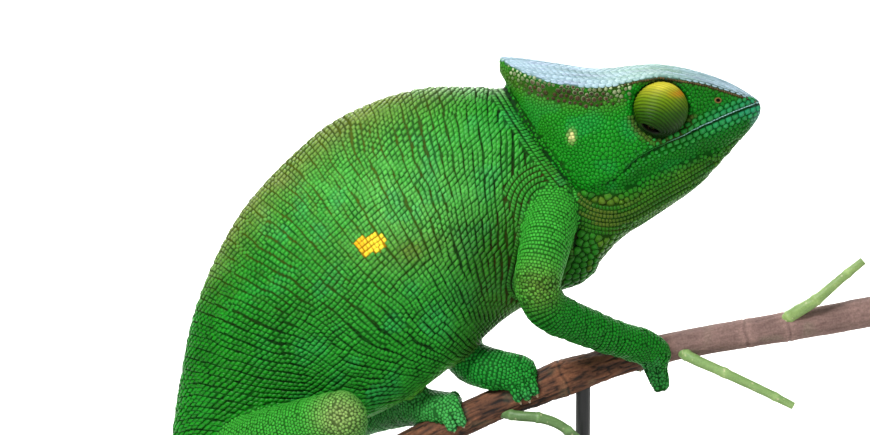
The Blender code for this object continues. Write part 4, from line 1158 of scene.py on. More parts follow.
unwrap_faces(skin_mesh, skin_quads, points)
hide = painted_material("dry_reptile_hide", 0.6, 1.4, specular=0.08, speck=HIDE_WRINKLE, detail=4.0,
                        bump=(0.5, 0.2))
flesh_nodes = ["head", "lower_jaw", "throat", "neck", "chest", "belly"]
flesh_nodes += ["tail_{}".format(k) for k in range(1, 7)]
flesh_nodes += list(LEGS) + grip_nodes
add_piece("skin", skin_mesh, hide, "green_skin", *flesh_nodes)
skin_surface = BVHTree.FromPolygons(points.tolist(), skin_quads.tolist())

# --- Scales --------------------------------------------------------------------------------
# Thousands of small horny plates that lie side by side and do not overlap: square ones in rows
# across the bands of the flanks, rings of them on the legs and tail, round grains elsewhere.
# Each grows as a low closed pillow whose top is paler than its foot: a painted highlight above, painted
# shade below.
FLANK_SCALE = 1.6
FOLD_GAP = 0.22
BAR_SCALE = 1.25
BAR_SLANT = math.radians(24.0)
ROW_WAY = unit(np.array((1.0, 1.0)))
ROW_NORMAL = unit(np.array((-1.0, 1.0)))
LEG_SCALE = 1.3
TAIL_SCALE = 1.5
CHEEK_SCALE = 1.5
TEMPLE_SCALE = 1.0
TOE_SCALE = 1.15
THROAT_SCALE = 1.35
RUMP_SCALE = 1.5
RING_PITCH = 0.94
FLANK_HEIGHT, FLANK_TOP = 0.26, 0.84
LEG_HEIGHT, TAIL_HEIGHT = 0.17, 0.24
SCALES_IN_A_PIECE = 6400
PATCH = 0.003

scale_sets = []
random = np.random.default_rng(20)


def on_skin(places, reach=3.0):
    """Puts places on the skin. Returns the roots, the skin's directions there, and which held."""
    roots, facing, held = np.zeros_like(places), np.zeros_like(places), np.zeros(len(places), bool)
    for k, place in enumerate(places.tolist()):
        spot, normal, face, _ = skin_surface.find_nearest(place, reach)
        if face is not None:
            roots[k], facing[k], held[k] = spot, smooth_facing(spot, face), True
    return roots, facing, held


def smooth_facing(spot, face):
    """The skin's direction at a spot on a face, as the mean of its corners' directions."""
    return normals[skin_quads[face]].mean(0)


def add_scales(group, places, along, half_along, half_across, height, regions, square, colours=None,
               round_top=0.8, lean=None, contrast=1.0):
    """Roots one set of scales on the skin and keeps those that hold on their own region."""
    roots, facing, held = on_skin(places)
    form_id, u, v, _, _ = unroll(roots)
    held &= on_forms(form_id, *regions)
    held &= dot(facing, facing) > 0.2
    base = coat_colour(roots, form_id, u, v)
    tip, middle, foot = shades(base, roots, contrast) if colours is None else colours
    count = len(places)
    fields = {"root": roots, "facing": unit(facing), "along": np.broadcast_to(along, roots.shape),
              "lean": np.broadcast_to(along if lean is None else lean, roots.shape),
              "half_along": np.full(count, half_along), "half_across": np.full(count, half_across),
              "height": np.full(count, height), "square": np.full(count, square), "tip": tip,
              "middle": middle, "foot": foot, "form": form_id, "u": u, "v": v,
              "round_top": np.full(count, round_top), "group": np.full(count, group)}
    scale_sets.append({key: np.asarray(value)[held] for key, value in fields.items()})


def shades(base, roots, contrast=1.0):
    """Colours of a scale's top, shoulder and foot, each scale a little its own: the top lightened as a
    painted highlight, the foot darkened as painted shade.
    """
    own = noise(roots, 0.7, 71)[:, None]
    base = base * (0.97 + 0.42 * contrast * (own - 0.5))
    return base * (1.0 + 0.3 * contrast), base, base * (1.0 - 0.74 * contrast)


def fan_scales():
    """Scales of the fan, in straight rows that rise forwards and cross the folds on a slant.

    In each row every band between two folds holds a whole number of scales. Returns their
    unrolled places, the way of the fold at each, the way of the row, and their half sizes.
    """
    tables = []
    for away in np.arange(0.5, 130.0) * FLANK_SCALE:
        start = np.arange(0.0, np.interp(FAN_LAST_ANGLE, FAN_ANGLES, FAN_NUMBERS))
        size = np.ones(len(start))
        for level in range(FORK_LEVELS + 1):
            middle = np.interp(start + size / 2, FAN_NUMBERS, FAN_ANGLES)
            radius = away / np.maximum(np.cos(middle - math.pi / 4), 0.1)
            width = fan_slope(start) * size * radius
            forked = (size == 0.5 ** level) & (width > fork_width(start / size, level))
            if level < FORK_LEVELS:
                start = np.concatenate([start[~forked], start[forked], start[forked] + size[forked] / 2])
                size = np.concatenate([size[~forked], size[forked] / 2, size[forked] / 2])
        edges = np.interp(np.stack([start, start + size]), FAN_NUMBERS, FAN_ANGLES) - math.pi / 4
        low, high = away * np.tan(edges)
        count = np.maximum(np.round((width - FOLD_GAP) / FLANK_SCALE), 1).astype(int)
        gap = FOLD_GAP * (high - low) / width
        which = np.repeat(np.arange(len(start)), count)
        step = np.arange(len(which)) - np.repeat(np.cumsum(count) - count, count) + 0.5
        long = ((high - low - gap) / count)[which]
        tables.append(np.column_stack([(low + gap / 2)[which] + step * long,
                                       np.full(len(which), away), long / 2]))
    along_row, away, half = np.vstack(tables).T
    seen = (np.abs(along_row) < 200.0) & (half < 4.0)
    along_row, away, half = (values[seen] for values in (along_row, away, half))
    along_row = along_row + random.normal(0, 0.06, len(away))
    from_centre = along_row[:, None] * ROW_WAY + away[:, None] * ROW_NORMAL
    q = FAN_CENTRE + from_centre
    for _ in range(3):
        q = FAN_CENTRE + from_centre + wander(q)
    count = len(q)
    return (q, unit(from_centre), np.tile(ROW_NORMAL, (count, 1)), np.full(count, FLANK_SCALE / 2), half)


def lengths_along(line):
    """Distance along a line of places from its first to each."""
    return np.concatenate([[0.0], np.cumsum(np.linalg.norm(np.diff(line, axis=0), axis=1))])


def walk(line, at):
    """Places at distances along a line, and the steps from there to a little further on."""
    here, there = (np.stack([np.interp(stop, lengths_along(line), row) for row in line.T], -1)
                   for stop in (at, at + 0.3))
    return here, there - here


def bar_scales(path, pitch):
    """One row of slanting bars along a path of places; the path is their fold's way."""
    length = lengths_along(path)[-1]
    at = np.arange(random.random(), 1.0 + length / BAR_SCALE) * BAR_SCALE
    at = np.clip(at + random.normal(0, 0.08, len(at)), 0, length - 0.4)
    places, steps = walk(path, at)
    way = unit(steps)
    square_to = np.stack([-way[:, 1], way[:, 0]], -1)
    bar = math.cos(BAR_SLANT) * square_to + math.sin(BAR_SLANT) * way
    count = len(at)
    return (places, way, np.stack([bar[:, 1], -bar[:, 0]], -1),
            np.full(count, BAR_SCALE / 2 * math.cos(BAR_SLANT)),
            np.full(count, (pitch - FOLD_GAP) / 2 / math.cos(BAR_SLANT)))


def arch_scales():
    """Scales in arches over the shoulder: two straight sides joined by a half circle on top."""
    up = unit(ARCH_LINE[0] - ARCH_LINE[1])
    back = np.array((-up[1], up[0]))
    rows = []
    for number in range(int(ARCH_REACH[1] / ARCH_PITCH)):
        radius = (number + 0.5) * ARCH_PITCH
        turn = np.linspace(0.0, math.pi, 60)[:, None]
        over = ARCH_LINE[0] + radius * (np.cos(turn) * back + np.sin(turn) * up)
        under = ARCH_LINE[1] - radius * (np.cos(turn) * back + np.sin(turn) * up)
        rows.append(bar_scales(np.vstack([over, under, over[:1]]), ARCH_PITCH))
    return [np.concatenate(parts) for parts in zip(*rows)]


def crease_scales():
    """Scales in lines behind the neck's crease, carried on a little past both of its ends."""
    line = smoothed(NECK_CREASE, 80)
    ahead = unit(np.gradient(line, axis=0))
    line = np.vstack([line[0] - 6.0 * ahead[0], line, line[-1] + 6.0 * ahead[-1]])
    ahead = np.vstack([ahead[:1], ahead, ahead[-1:]])
    behind = np.stack([ahead[:, 1], -ahead[:, 0]], -1)
    rows = [bar_scales(line + (number + 0.5) * CREASE_PITCH * behind, CREASE_PITCH)
            for number in range(3)]
    return [np.concatenate(parts) for parts in zip(*rows)]


right_half = trunk_form["points"][:, :half + 1]
grid_q = flank_place(trunk_form["u"][:, :half + 1], trunk_form["v"][:, :half + 1])
flank_tree = tree_of(flat_place(grid_q.reshape(-1, 2)))
zones = [fan_scales(), arch_scales(), crease_scales()]
zone_wanted = np.concatenate([np.full(len(zone[0]), k) for k, zone in enumerate(zones)])
q, fold_way, row_normal, half_along, half_across = (np.concatenate(parts) for parts in zip(*zones))
kept = fold_zone(q)[0] == zone_wanted
kept &= (q[:, 0] > -125) & (q[:, 0] < 70) & (q[:, 1] > 80) & (q[:, 1] < 270)
q, fold_way, row_normal = q[kept], fold_way[kept], row_normal[kept]
half_along, half_across = half_along[kept], half_across[kept]
nearest = find_nearest(flank_tree, flat_place(q))
q_down, q_round = (np.gradient(grid_q, axis=k).reshape(-1, 2)[nearest] for k in range(2))
p_down, p_round = (np.gradient(right_half, axis=k).reshape(-1, 3)[nearest] for k in range(2))
frames_2d = np.stack([q_down, q_round], -1)
flat_enough = np.abs(np.linalg.det(frames_2d)) > 1e-4
frames_2d[~flat_enough] = np.eye(2)


def on_flank(ways):
    """Steps in the unrolled side view as steps on the body."""
    steps = np.linalg.solve(frames_2d, ways[..., None])[..., 0]
    return steps[:, :1] * p_down + steps[:, 1:] * p_round, steps


step, grid_steps = on_flank(q - grid_q.reshape(-1, 2)[nearest])
held = flat_enough & (np.abs(grid_steps) < 1.2).all(1)
places = (right_half.reshape(-1, 3)[nearest] + step)[held]
fold_way, row_normal = (unit(on_flank(ways)[0])[held] for ways in (fold_way, row_normal))
q, half_along, half_across = q[held], half_along[held], half_across[held]
in_spot = in_gold(q)
gold = mix("#F6B212", "#FFE23A", (q[:, 0] - SPOT_CENTRE[0]) / 7.0 + 0.75)
for group, side in (("flank_right", 1), ("flank_left", -1)):
    mirror = np.array((1.0, side, 1.0))
    roots, _, _ = on_skin(places * mirror)
    form_id, u, v, _, _ = unroll(roots)
    low, _ = among_folds(flank_place(u, v))
    base = coat_colour(roots, form_id, u, v)
    # Scales beside a fold take on some of the fold's colour and of its painted shade
    base = mix(base, fold_colour_and_shade(q) * 1.6, 0.3 * near(low - 0.3, 0.5))
    tip, middle, foot = shades(base, roots)
    tip = np.where(in_spot[:, None], gold, tip)
    middle = np.where(in_spot[:, None], gold * 0.95, middle)
    # In the yellow spot the foot is a darker brown-gold, partly painted shade
    foot = np.where(in_spot[:, None], tone("#B47E12"), foot)
    height = FLANK_HEIGHT + 0.08 * noise(roots, 2.0, 72)
    kept = ~ahead_of_crease(roots)
    add_scales(group, (places * mirror)[kept], (row_normal * mirror)[kept], 0.97 * half_along[kept],
               0.97 * half_across[kept], height[kept], ("trunk",), 1.0,
               (tip[kept], middle[kept], foot[kept]), FLANK_TOP, (fold_way * mirror)[kept])


def ring_scales(group, name, size, height):
    """Scales in rings round a leg or the tail, each ring turned half a scale from the last."""
    form = forms[FORM[name]]
    grid, length = form["points"], form["u"][:, 0]
    rings = np.arange(size / 2, length[-1], size * RING_PITCH)
    row = np.interp(rings, length, np.arange(len(length)))
    girth = np.interp(rings, length, np.linalg.norm(np.diff(grid, axis=1), axis=2).sum(1))
    places, along, half_size = [], [], []
    for k, (at, around) in enumerate(zip(row, girth)):
        count = max(int(round(around / size)), 5)
        step = (np.arange(count) + 0.5 * (k % 2) + random.normal(0, 0.09, count)) / count
        column = (step % 1.0) * grid.shape[1]
        wave = noise(np.column_stack([step * 7.0, 0 * step + at * 0.09, 0 * step]), 1.0, 73) - 0.5
        at = at + random.normal(0, 0.04, count) + wave * 1.6 * len(length) / length[-1]
        at = np.clip(at, 0, len(length) - 1.001)
        r0, c0 = at.astype(int), column.astype(int) % grid.shape[1]
        fr, fc = (at - r0)[:, None], (column - column.astype(int))[:, None]
        c1 = (c0 + 1) % grid.shape[1]
        lower = grid[r0, c0] * (1 - fc) + grid[r0, c1] * fc
        higher = grid[r0 + 1, c0] * (1 - fc) + grid[r0 + 1, c1] * fc
        places.append(lower * (1 - fr) + higher * fr)
        along.append(unit(higher - lower))
        half_size.append(np.full(count, 0.5 * around / count))
    add_scales(group, np.vstack(places), np.vstack(along), size * RING_PITCH / 2, np.concatenate(half_size),
               height, (name,), 0.85)


for name in LEGS:
    ring_scales("legs", name, LEG_SCALE, LEG_HEIGHT)
ring_scales("tail", "tail", TAIL_SCALE, TAIL_HEIGHT)


def scatter(regions, size, crowding=7.0):
    """Random places on the skin of some regions, many more than will be kept."""
    middle = points[skin_quads].mean(1)
    form_id, _, _, _, _ = unroll(middle)
    quads = skin_quads[on_forms(form_id, *regions)]
    a, b, c, d = (points[quads[:, k]] for k in range(4))
    area = 0.5 * np.linalg.norm(np.cross(c - a, d - b), axis=1)
    count = int(crowding * area.sum() / size ** 2)
    chosen = random.choice(len(quads), count, p=area / area.sum())
    s, t = random.random((2, count, 1))
    return ((1 - s) * (1 - t) * a[chosen] + s * (1 - t) * b[chosen]
            + s * t * c[chosen] + (1 - s) * t * d[chosen])


def thin_out(places, apart, taken, clear):
    """Keeps places, in their order, that are far enough apart and clear of those taken."""
    tree = tree_of(places)
    alive = np.ones(len(places), bool)
    for spot, distance in zip(taken.tolist(), clear):
        for _, k, _ in tree.find_range(spot, distance):
            alive[k] = False
    kept = []
    for k, place in enumerate(places.tolist()):
        if alive[k]:
            kept.append(k)
            for _, other, _ in tree.find_range(place, apart[k]):
                alive[other] = False
    return places[kept], apart[kept]


def settle(places, fixed, rest, rounds=4):
    """Lets places push each other apart until they stand evenly, back on the skin each round."""
    for _ in range(rounds):
        everything = np.vstack([places, fixed])
        tree = tree_of(everything)
        near_ones = np.array([[found[1] for found in tree.find_n(place, 7)][1:]
                              for place in places.tolist()])
        apart = places[:, None] - everything[near_ones]
        distance = np.maximum(np.linalg.norm(apart, axis=2, keepdims=True), 1e-3)
        push = (apart / distance * np.clip(rest[:, None, None] - distance, 0, None)).sum(1)
        places, _, _ = on_skin(places + 0.3 * push)
    return places

# --- Head scales ---------------------------------------------------------------------------
# Square plates line both lips, round domes with brown tips stand in rows under the rear edge of
# the casque, and flat pale plates cover its roof, their paleness partly painted sky reflection.
# Fine round grains fill all the rest.
LIP_PLATE = 2.6
LIP_PLATE_HEIGHT = 2.1
DOME_SIZE = 2.2
ROOF_PLATE = 1.5
ROOF_ROWS = 33
NOSTRIL = np.array((92.4, 10.2, 239.9))
NOSTRIL_CLEAR = 1.6
LIP_RIM = (0.56, 0.19, 0.2)
LIP_PLATE_RISE = 0.26
DOME_ROWS = (0.66, 1.0, 0.95, 0.68)
DOME_DROP, DOME_SPACING = 0.75, 1.75
DOME_RISE = 0.55
BEAD_PITCH = 0.92
BEAD = (0.46, 0.36, 0.26)
THROAT_BAR_RISE = 0.22
ROOF_PLATE_RISE = 0.08
JOINT_REACH = 12.5
RUMP_FROM, RUMP_REACH = -58.0, 12.0
# How close grains may start to each other, how far apart they settle, how far each one spreads
GRAIN_APART, GRAIN_REST, GRAIN_SPREAD = 0.8, 1.26, 0.68
GRAIN_RISE = 0.17
HEAD_REGIONS = ("skull", "jaw", "throat")


def evenly_along(line, pitch, start=0.0):
    """Points at an even pitch along a line, with the line's direction at each."""
    places, steps = walk(line, np.arange(start, lengths_along(line)[-1], pitch))
    return places, unit(steps + (1e-6, 0.0, 0.0))


def skull_line(x, rows_y, rows_z, side):
    """A line along the skull's side through two columns of its sections."""
    dense = smooth_curve(SKULL, np.interp(x, SKULL[:, 0], np.arange(len(SKULL))))
    return np.column_stack([x, side * dense[:, rows_y], dense[:, rows_z]])


def from_side(places, side):
    """Places of the side view on the skin, with those that miss it left out."""
    seen = [skin_surface.ray_cast((x, side * 90.0, z), (0.0, -side, 0.0)) for x, z in places.tolist()]
    hit = np.array([spot is not None for spot, *_ in seen])
    return np.array([spot for spot, *_ in seen if spot is not None]), hit


def lip_plates(side):
    """A thin pale rim on the upper lip, then plates on both, smaller towards the corner."""
    lip = skull_line(np.linspace(107.6, 60.0, 60), 8, 9, side)
    rim, ahead = evenly_along(lip + (0, 0, 0.42), 1.1)
    shade = mix("#1C7A2A", "#A8DCDA", ramp(rim[:, 0], 74, 86))
    # The rim's foot is darkened as painted shade
    add_scales("head", rim, ahead, *LIP_RIM, HEAD_REGIONS, 1.0, (shade, shade * 0.9, shade * 0.5))
    for up in (1, -1):
        for row in range(2):
            lift = up * (0.62 + LIP_PLATE_HEIGHT * (row * 0.96 + 0.5))
            plates_at, ahead = evenly_along(lip + (0.0, side * 0.9, lift), LIP_PLATE, 0.6 + 1.2 * row)
            size = 0.49 * np.clip((plates_at[:, 0] - 48.0) / 34.0, 0.5, 1.0) * (1.0 - 0.12 * row)
            teal = mix("#0B6A3C", "#23A07A", noise(plates_at, 1.9, 81))
            green = mix("#0A6E14", "#1D8C2A", noise(plates_at, 1.9, 80))
            share = ramp(plates_at[:, 0], 82, 104) * (0.75 - 0.35 * row)
            green = mix(green, teal, share)
            # Each plate's top is lightened as a painted highlight and its foot darkened as painted shade
            add_scales("head", plates_at, ahead, LIP_PLATE * size, LIP_PLATE_HEIGHT * size, LIP_PLATE_RISE,
                       HEAD_REGIONS, 0.8, (mix(green, "#6CC48A", 0.15), green, green * 0.3), 0.76)


def casque_domes(side):
    """Four rows of domes under the casque's rear edge, the middle rows the largest."""
    edge = skull_line(np.linspace(19.5, 62.0, 70), 2, 3, side)
    for row, size in enumerate(DOME_ROWS):
        drop = DOME_DROP + DOME_SPACING * row
        domes, ahead = evenly_along(edge + (0, side * 0.2, -drop), DOME_SIZE * 0.9, 0.5 + (row % 2))
        domes += random.normal(0, 0.28, domes.shape)
        middle_of_row = near(domes[:, 0] - 41.0, 19.0)
        scale = size * (0.5 + 0.6 * middle_of_row) * random.uniform(0.8, 1.12, len(domes))
        ring = mix("#3E6420", "#B4C496", 1.3 * noise(domes, 1.7, 83) - 0.2 * row)
        brown = mix("#140A06", "#4E3424", noise(domes, 1.2, 84))
        share = 2.0 * middle_of_row - 0.4 - 0.6 * (row == 0) + 0.9 * (noise(domes, 2.5, 85) - 0.5)
        brown = mix(ring, brown, np.clip(share, 0, 0.97))
        add_scales("head", domes, ahead, DOME_SIZE * 0.52 * scale, DOME_SIZE * 0.52 * scale,
                   DOME_RISE * scale, HEAD_REGIONS, 0.0, (brown, brown * 1.1, ring), 0.5)


def casque_beads(side):
    """A row of small brown beads along the casque's edge, over the eye to the snout."""
    edge = skull_line(np.linspace(58.0, 106.0, 80), 2, 3, side)
    beads, ahead = evenly_along(edge + (0, 0, -0.7), BEAD_PITCH)
    brown = mix("#2A1C10", "#6E5836", noise(beads, 1.1, 86))
    # Each bead's top is paler as a painted highlight and its foot darker as painted shade
    add_scales("head", beads, ahead, *BEAD, HEAD_REGIONS, 0.0,
               (mix(brown, "#8E8458", 0.25), brown, brown * 0.4))


def throat_bars(side):
    """Rows of bars that follow the folds of the throat round the corner of the jaw."""
    gular = smoothed(GULAR_LINE, 60)
    down = unit(np.gradient(gular, axis=0))[:, ::-1] * (1, -1)
    for row in range(GULAR_ROWS):
        places, way, _, _, _ = bar_scales(gular + (row + 0.4) * GULAR_PITCH * down, GULAR_PITCH)
        roots, hit = from_side(places, side)
        way = np.stack([way[hit, 0], 0 * way[hit, 0], way[hit, 1]], -1)
        x = roots[:, 0]
        streak = noise(np.column_stack([x / 9.0, 0 * x + row * 3.3, 0 * x]), 1.0, 53)
        green = mix("#0E5A0A", "#3A7414", noise(roots * (0.4, 1, 1), 2.0, 88))
        by_corner = near(x - 52.0, 13.0)
        green = mix(green, "#6E5424", np.clip((streak - 0.5) * 2.2, 0, 0.35) * by_corner)
        # The bars' tops are lighter as a painted highlight and their feet darker as painted shade
        add_scales("head", roots, way, BAR_SCALE * 0.5, GULAR_PITCH * 0.46, THROAT_BAR_RISE,
                   ("throat", "jaw", "trunk"), 0.5,
                   (green * 1.15, green, green * 0.35))


def roof_plates():
    """Flat plates in lengthwise rows on the casque's roof."""
    x = np.linspace(19.0, 107.0, 120)
    section = smooth_curve(SKULL, np.interp(x, SKULL[:, 0], np.arange(len(SKULL))))
    for share in np.linspace(-0.96, 0.96, ROOF_ROWS):
        height = np.interp(abs(share), (0.0, 0.5, 0.86, 1.0), (0.0, 0.36, 0.78, 1.0))
        line = np.column_stack([x, share * section[:, 2],
                                section[:, 1] - height * (section[:, 1] - section[:, 3])])
        plates_at, ahead = evenly_along(line, ROOF_PLATE * 1.6, random.random() * 2.4)
        half_width = np.clip(np.interp(plates_at[:, 0], x, section[:, 2]) * 0.032, 0.3, 1.0)
        pale = roof_blue_and_sky_sheen(plates_at)
        # The plates carry the roof's blue with its painted sky reflection; their feet are darkened as
        # painted shade
        add_scales("head", plates_at, ahead, ROOF_PLATE * 0.82, half_width, ROOF_PLATE_RISE,
                   HEAD_REGIONS, 0.9, (pale, pale * 0.95, pale * 0.5), 0.9)


for side in (-1, 1):
    lip_plates(side)
    casque_domes(side)
    casque_beads(side)
    throat_bars(side)
roof_plates()


def grain_size(places):
    """Size of the head's grains: coarse on the cheek, fine on the temple and by the crease."""
    on_cheek = near(np.hypot(places[:, 0] - 55.0, (places[:, 2] - 221.0) * 1.1), 15.0)
    on_snout = ramp(places[:, 0], 76, 86)
    return TEMPLE_SCALE + (CHEEK_SCALE - TEMPLE_SCALE) * np.maximum(on_cheek, 0.55 * on_snout)


# Grains fill the head, the throat and chest, the toes and bends of the legs, and the gaps along
# the rump. They keep clear of the plates set above, the crease, the mouth, the nose and the eyes.
taken = np.vstack([scales["root"] for scales in scale_sets])
clear = np.concatenate([0.62 * (scales["half_along"] + scales["half_across"]) + 0.28
                        for scales in scale_sets])
close_by = (taken[:, 0] > 12.0) | (taken[:, 0] < -55.0) | on_forms(unroll(taken)[0], *LEGS)
taken, clear = taken[close_by], clear[close_by]
eyes = [TURRET_CENTRE * (1, side, 1) for side in (-1, 1)]
for group, regions, coarsest in (("head", ("skull", "jaw"), None),
                                 ("throat", ("throat", "trunk"), THROAT_SCALE),
                                 ("toes", (*GRIP_PLACES, *LEGS), TOE_SCALE),
                                 ("rump", ("trunk",), RUMP_SCALE)):
    places = scatter(regions, coarsest or TEMPLE_SCALE)
    outside = np.min([np.linalg.norm(places - eye, axis=1) for eye in eyes], axis=0)
    nose = np.linalg.norm(places * (1, 0, 1) - NOSTRIL * (1, 0, 1), axis=1)
    places = places[(outside > TURRET_RADIUS + 0.9) & (nose > NOSTRIL_CLEAR)]
    if group == "toes":
        centre = branch_axis(places[:, 0])[0]
        joints = [LEGS[name][-1, :3] for name in LEGS if name.startswith(("upper", "thigh"))]
        to_joint = np.min([np.linalg.norm(places - joint, axis=1) for joint in joints], axis=0)
        places = places[(np.linalg.norm(places - centre, axis=1) < HAND_REACH) | (to_joint < JOINT_REACH)]
        places = places[among_toes(places)[0] > 0.5]
        size = coarsest * (1.0 + 0.15 * among_toes(places)[1] * (places[:, 0] < 50.0))
    elif group == "rump":
        to_back = line_distance(places, TRUNK[:, :2])
        places = places[(places[:, 0] < RUMP_FROM) & (to_back < RUMP_REACH)]
        size = np.full(len(places), coarsest)
    elif group == "throat":
        places = places[ahead_of_crease(places)]
        size = coarsest * np.interp(places[:, 0], (54.0, 72.0), (1.75, 1.0))
    else:
        places = places[line_distance(places, NECK_CREASE) > 0.55]
        slot = (line_distance(places, MOUTH) < 0.6) & (places[:, 0] > 52)
        places = places[~slot]
        size = grain_size(places)
    places, apart = thin_out(places, size * GRAIN_APART, taken, clear)
    places = settle(places, taken, apart * GRAIN_REST)
    ahead = np.tile((1.0, 0.0, 0.3), (len(places), 1))
    half_size = apart / GRAIN_APART * GRAIN_SPREAD
    add_scales(group, places, ahead, half_size, half_size, half_size * GRAIN_RISE, regions, 0.0,
               round_top=0.86, contrast=0.55 if group == "head" else 1.0)

# --- Making the coat -----------------------------------------------------------------------
# The scales are cut to fit each other: each one reaches the line half-way to its neighbours,
# shared out by size. They are then joined into pieces of the hide that are easy to handle.
FACETS = np.array([(1, 0), (1, 1), (0, 1), (-1, 1), (-1, 0), (-1, -1), (0, -1), (1, -1)])
GROOVE = 0.97
SINK = 0.12
SHOULDER_HEIGHT = 0.74
SCALE_MOTTLE = 0.45

coat = {key: np.concatenate([scales[key] for scales in scale_sets]) for key in scale_sets[0]}
size = 0.5 * (coat["half_along"] + coat["half_across"])
coat_tree = tree_of(coat["root"])
neighbour = np.array([[found[1] for found in coat_tree.find_n(root, 11)][1:]
                      for root in coat["root"].tolist()])
apart = coat["root"][neighbour] - coat["root"][:, None]
close = np.linalg.norm(apart, axis=2) < 0.55 * (size[neighbour] + size[:, None])
kept = ~(close & (neighbour < np.arange(len(size))[:, None])).any(1)
facing = coat["facing"]
along = unit(coat["along"] - dot(coat["along"], facing)[:, None] * facing)
across = np.cross(facing, along)

# The outline: a slanting box or an oval, with no more than its half of the way to a neighbour
lean_along, lean_across = (dot(coat["lean"], way) for way in (along, across))
slant = np.where(np.abs(lean_along) > 0.3, lean_across / np.where(lean_along == 0, 1, lean_along), 0)
slant = np.clip(slant, -1.3, 1.3)[:, None]
square = coat["square"][:, None]
corner = np.where(np.abs(FACETS).sum(1) == 2, 0.79 + 0.17 * square, 1.12 - 0.12 * square)
facet_x = coat["half_along"][:, None] * FACETS[:, 0] * corner
facet_y = coat["half_across"][:, None] * FACETS[:, 1] * corner + slant * facet_x
outline = np.hypot(facet_x, facet_y)
facet_x, facet_y = facet_x / outline, facet_y / outline
to_x = np.einsum("ijk,ik->ij", apart, along)
to_y = np.einsum("ijk,ik->ij", apart, across)
flat_distance = np.maximum(np.hypot(to_x, to_y), 1e-3)
limit = flat_distance * size[:, None] / (size[:, None] + size[neighbour])
towards = (facet_x[..., None] * to_x[:, None] + facet_y[..., None] * to_y[:, None]) / flat_distance[:, None]
cell = limit[:, None] / np.maximum(towards, 0.15)
cell = np.where((towards > 0.15) & kept[neighbour][:, None], cell, 9.0)
cell = cell.min(2) * (GROOVE + square * (0.06 + 0.9 * np.abs(slant)))
outline = np.maximum(np.minimum(cell, outline), 0.2 * size[:, None])


def pillow_mesh(name, chosen):
    """One mesh of closed pillows: a top, a shoulder ring, a foot ring in the skin and a floor."""
    root, normal, reach = coat["root"][chosen], facing[chosen], outline[chosen]
    height = coat["height"][chosen][:, None, None]
    ray = (facet_x[chosen][..., None] * along[chosen][:, None]
           + facet_y[chosen][..., None] * across[chosen][:, None])
    top = coat["round_top"][chosen][:, None, None]
    shoulder = (root[:, None] + ray * reach[..., None] * top
                + normal[:, None] * height * SHOULDER_HEIGHT)
    foot = root[:, None] + ray * reach[..., None] - normal[:, None] * SINK
    tip = root[:, None] + normal[:, None] * height
    vertices = np.concatenate([tip, shoulder, foot], axis=1)
    count = len(root)
    ring = np.arange(8)
    after = (ring + 1) % 8
    fan = np.stack([0 * ring, 1 + ring, 1 + after], -1).ravel()
    wall = np.stack([1 + ring, 9 + ring, 9 + after, 1 + after], -1).ravel()
    pattern = np.concatenate([fan, wall, 9 + ring[::-1]])
    corner = (pattern[None] + 17 * np.arange(count)[:, None]).ravel()
    sizes = np.tile(np.concatenate([np.full(8, 3), np.full(8, 4), [8]]), count)
    mesh = bpy.data.meshes.new(name)
    mesh.vertices.add(17 * count)
    mesh.vertices.foreach_set("co", (vertices * MM).astype(np.float32).ravel())
    mesh.loops.add(len(corner))
    mesh.loops.foreach_set("vertex_index", corner.astype(np.int32))
    mesh.polygons.add(len(sizes))
    mesh.polygons.foreach_set("loop_start", (np.cumsum(sizes) - sizes).astype(np.int32))
    mesh.update(calc_edges=True)
    colours = np.concatenate([coat["tip"][chosen][:, None],
                              np.repeat(coat["middle"][chosen][:, None], 8, 1),
                              np.repeat(coat["foot"][chosen][:, None], 8, 1)], axis=1)
    paint(mesh, colours.reshape(-1, 3))
    centre = sheet_place(coat["form"][chosen], coat["u"][chosen], coat["v"][chosen])
    ring_uv = unit(FACETS.astype(float)) * PATCH / 2
    spread = np.concatenate([np.zeros((1, 2)), ring_uv * 0.7, ring_uv])
    uv = (centre[:, None] + spread[None]).reshape(-1, 2)[corner]
    layer = mesh.uv_layers.new(name="OFBake")
    layer.uv.foreach_set("vector", uv.astype(np.float32).ravel())
    mesh.shade_smooth()
    return mesh


keratin = painted_material("reptile_scale_keratin", 0.36, 1.45, specular=0.16, speck=SCALE_MOTTLE,
                           shade=(0.86, 1.12), bump=(0.3, 0.05))
for group in ("flank_right", "flank_left", "rump", "head", "throat", "legs", "tail", "toes"):
    chosen = np.flatnonzero((coat["group"] == group) & kept)
    parts = math.ceil(len(chosen) / SCALES_IN_A_PIECE)
    chosen = chosen[np.argsort(coat["root"][chosen, 0], kind="stable")]
    for number, part in enumerate(np.array_split(chosen, parts)):
        name = "scales_{}_{}".format(group, number + 1)
        add_piece(name, pillow_mesh(name, part), keratin, "green_skin")

# --- Nostrils ------------------------------------------------------------------------------
# A small round opening on each side of the snout with a raised brown rim of soft skin.
NOSTRIL_PROFILE = np.array([(1.15, -0.4), (1.08, 0.1), (0.92, 0.26), (0.74, 0.30), (0.6, 0.26),
                            (0.5, 0.14), (0.44, 0.06), (0.3, 0.04), (0.05, 0.03)])


def turned_points(profile, centre, axis, sides, stretch=1.0):
    """A profile of radius and height turned round an axis, as a grid of points."""
    axis = unit(np.asarray(axis, float))
    level = unit(np.cross(axis, (0.0, 0.31, 0.95)))
    steep = np.cross(axis, level)
    turn = full_turn(sides)
    ring = stretch * np.cos(turn)[:, None] * level + np.sin(turn)[:, None] * steep
    return centre + profile[:, :1, None] * ring[None] + profile[:, 1:, None] * axis


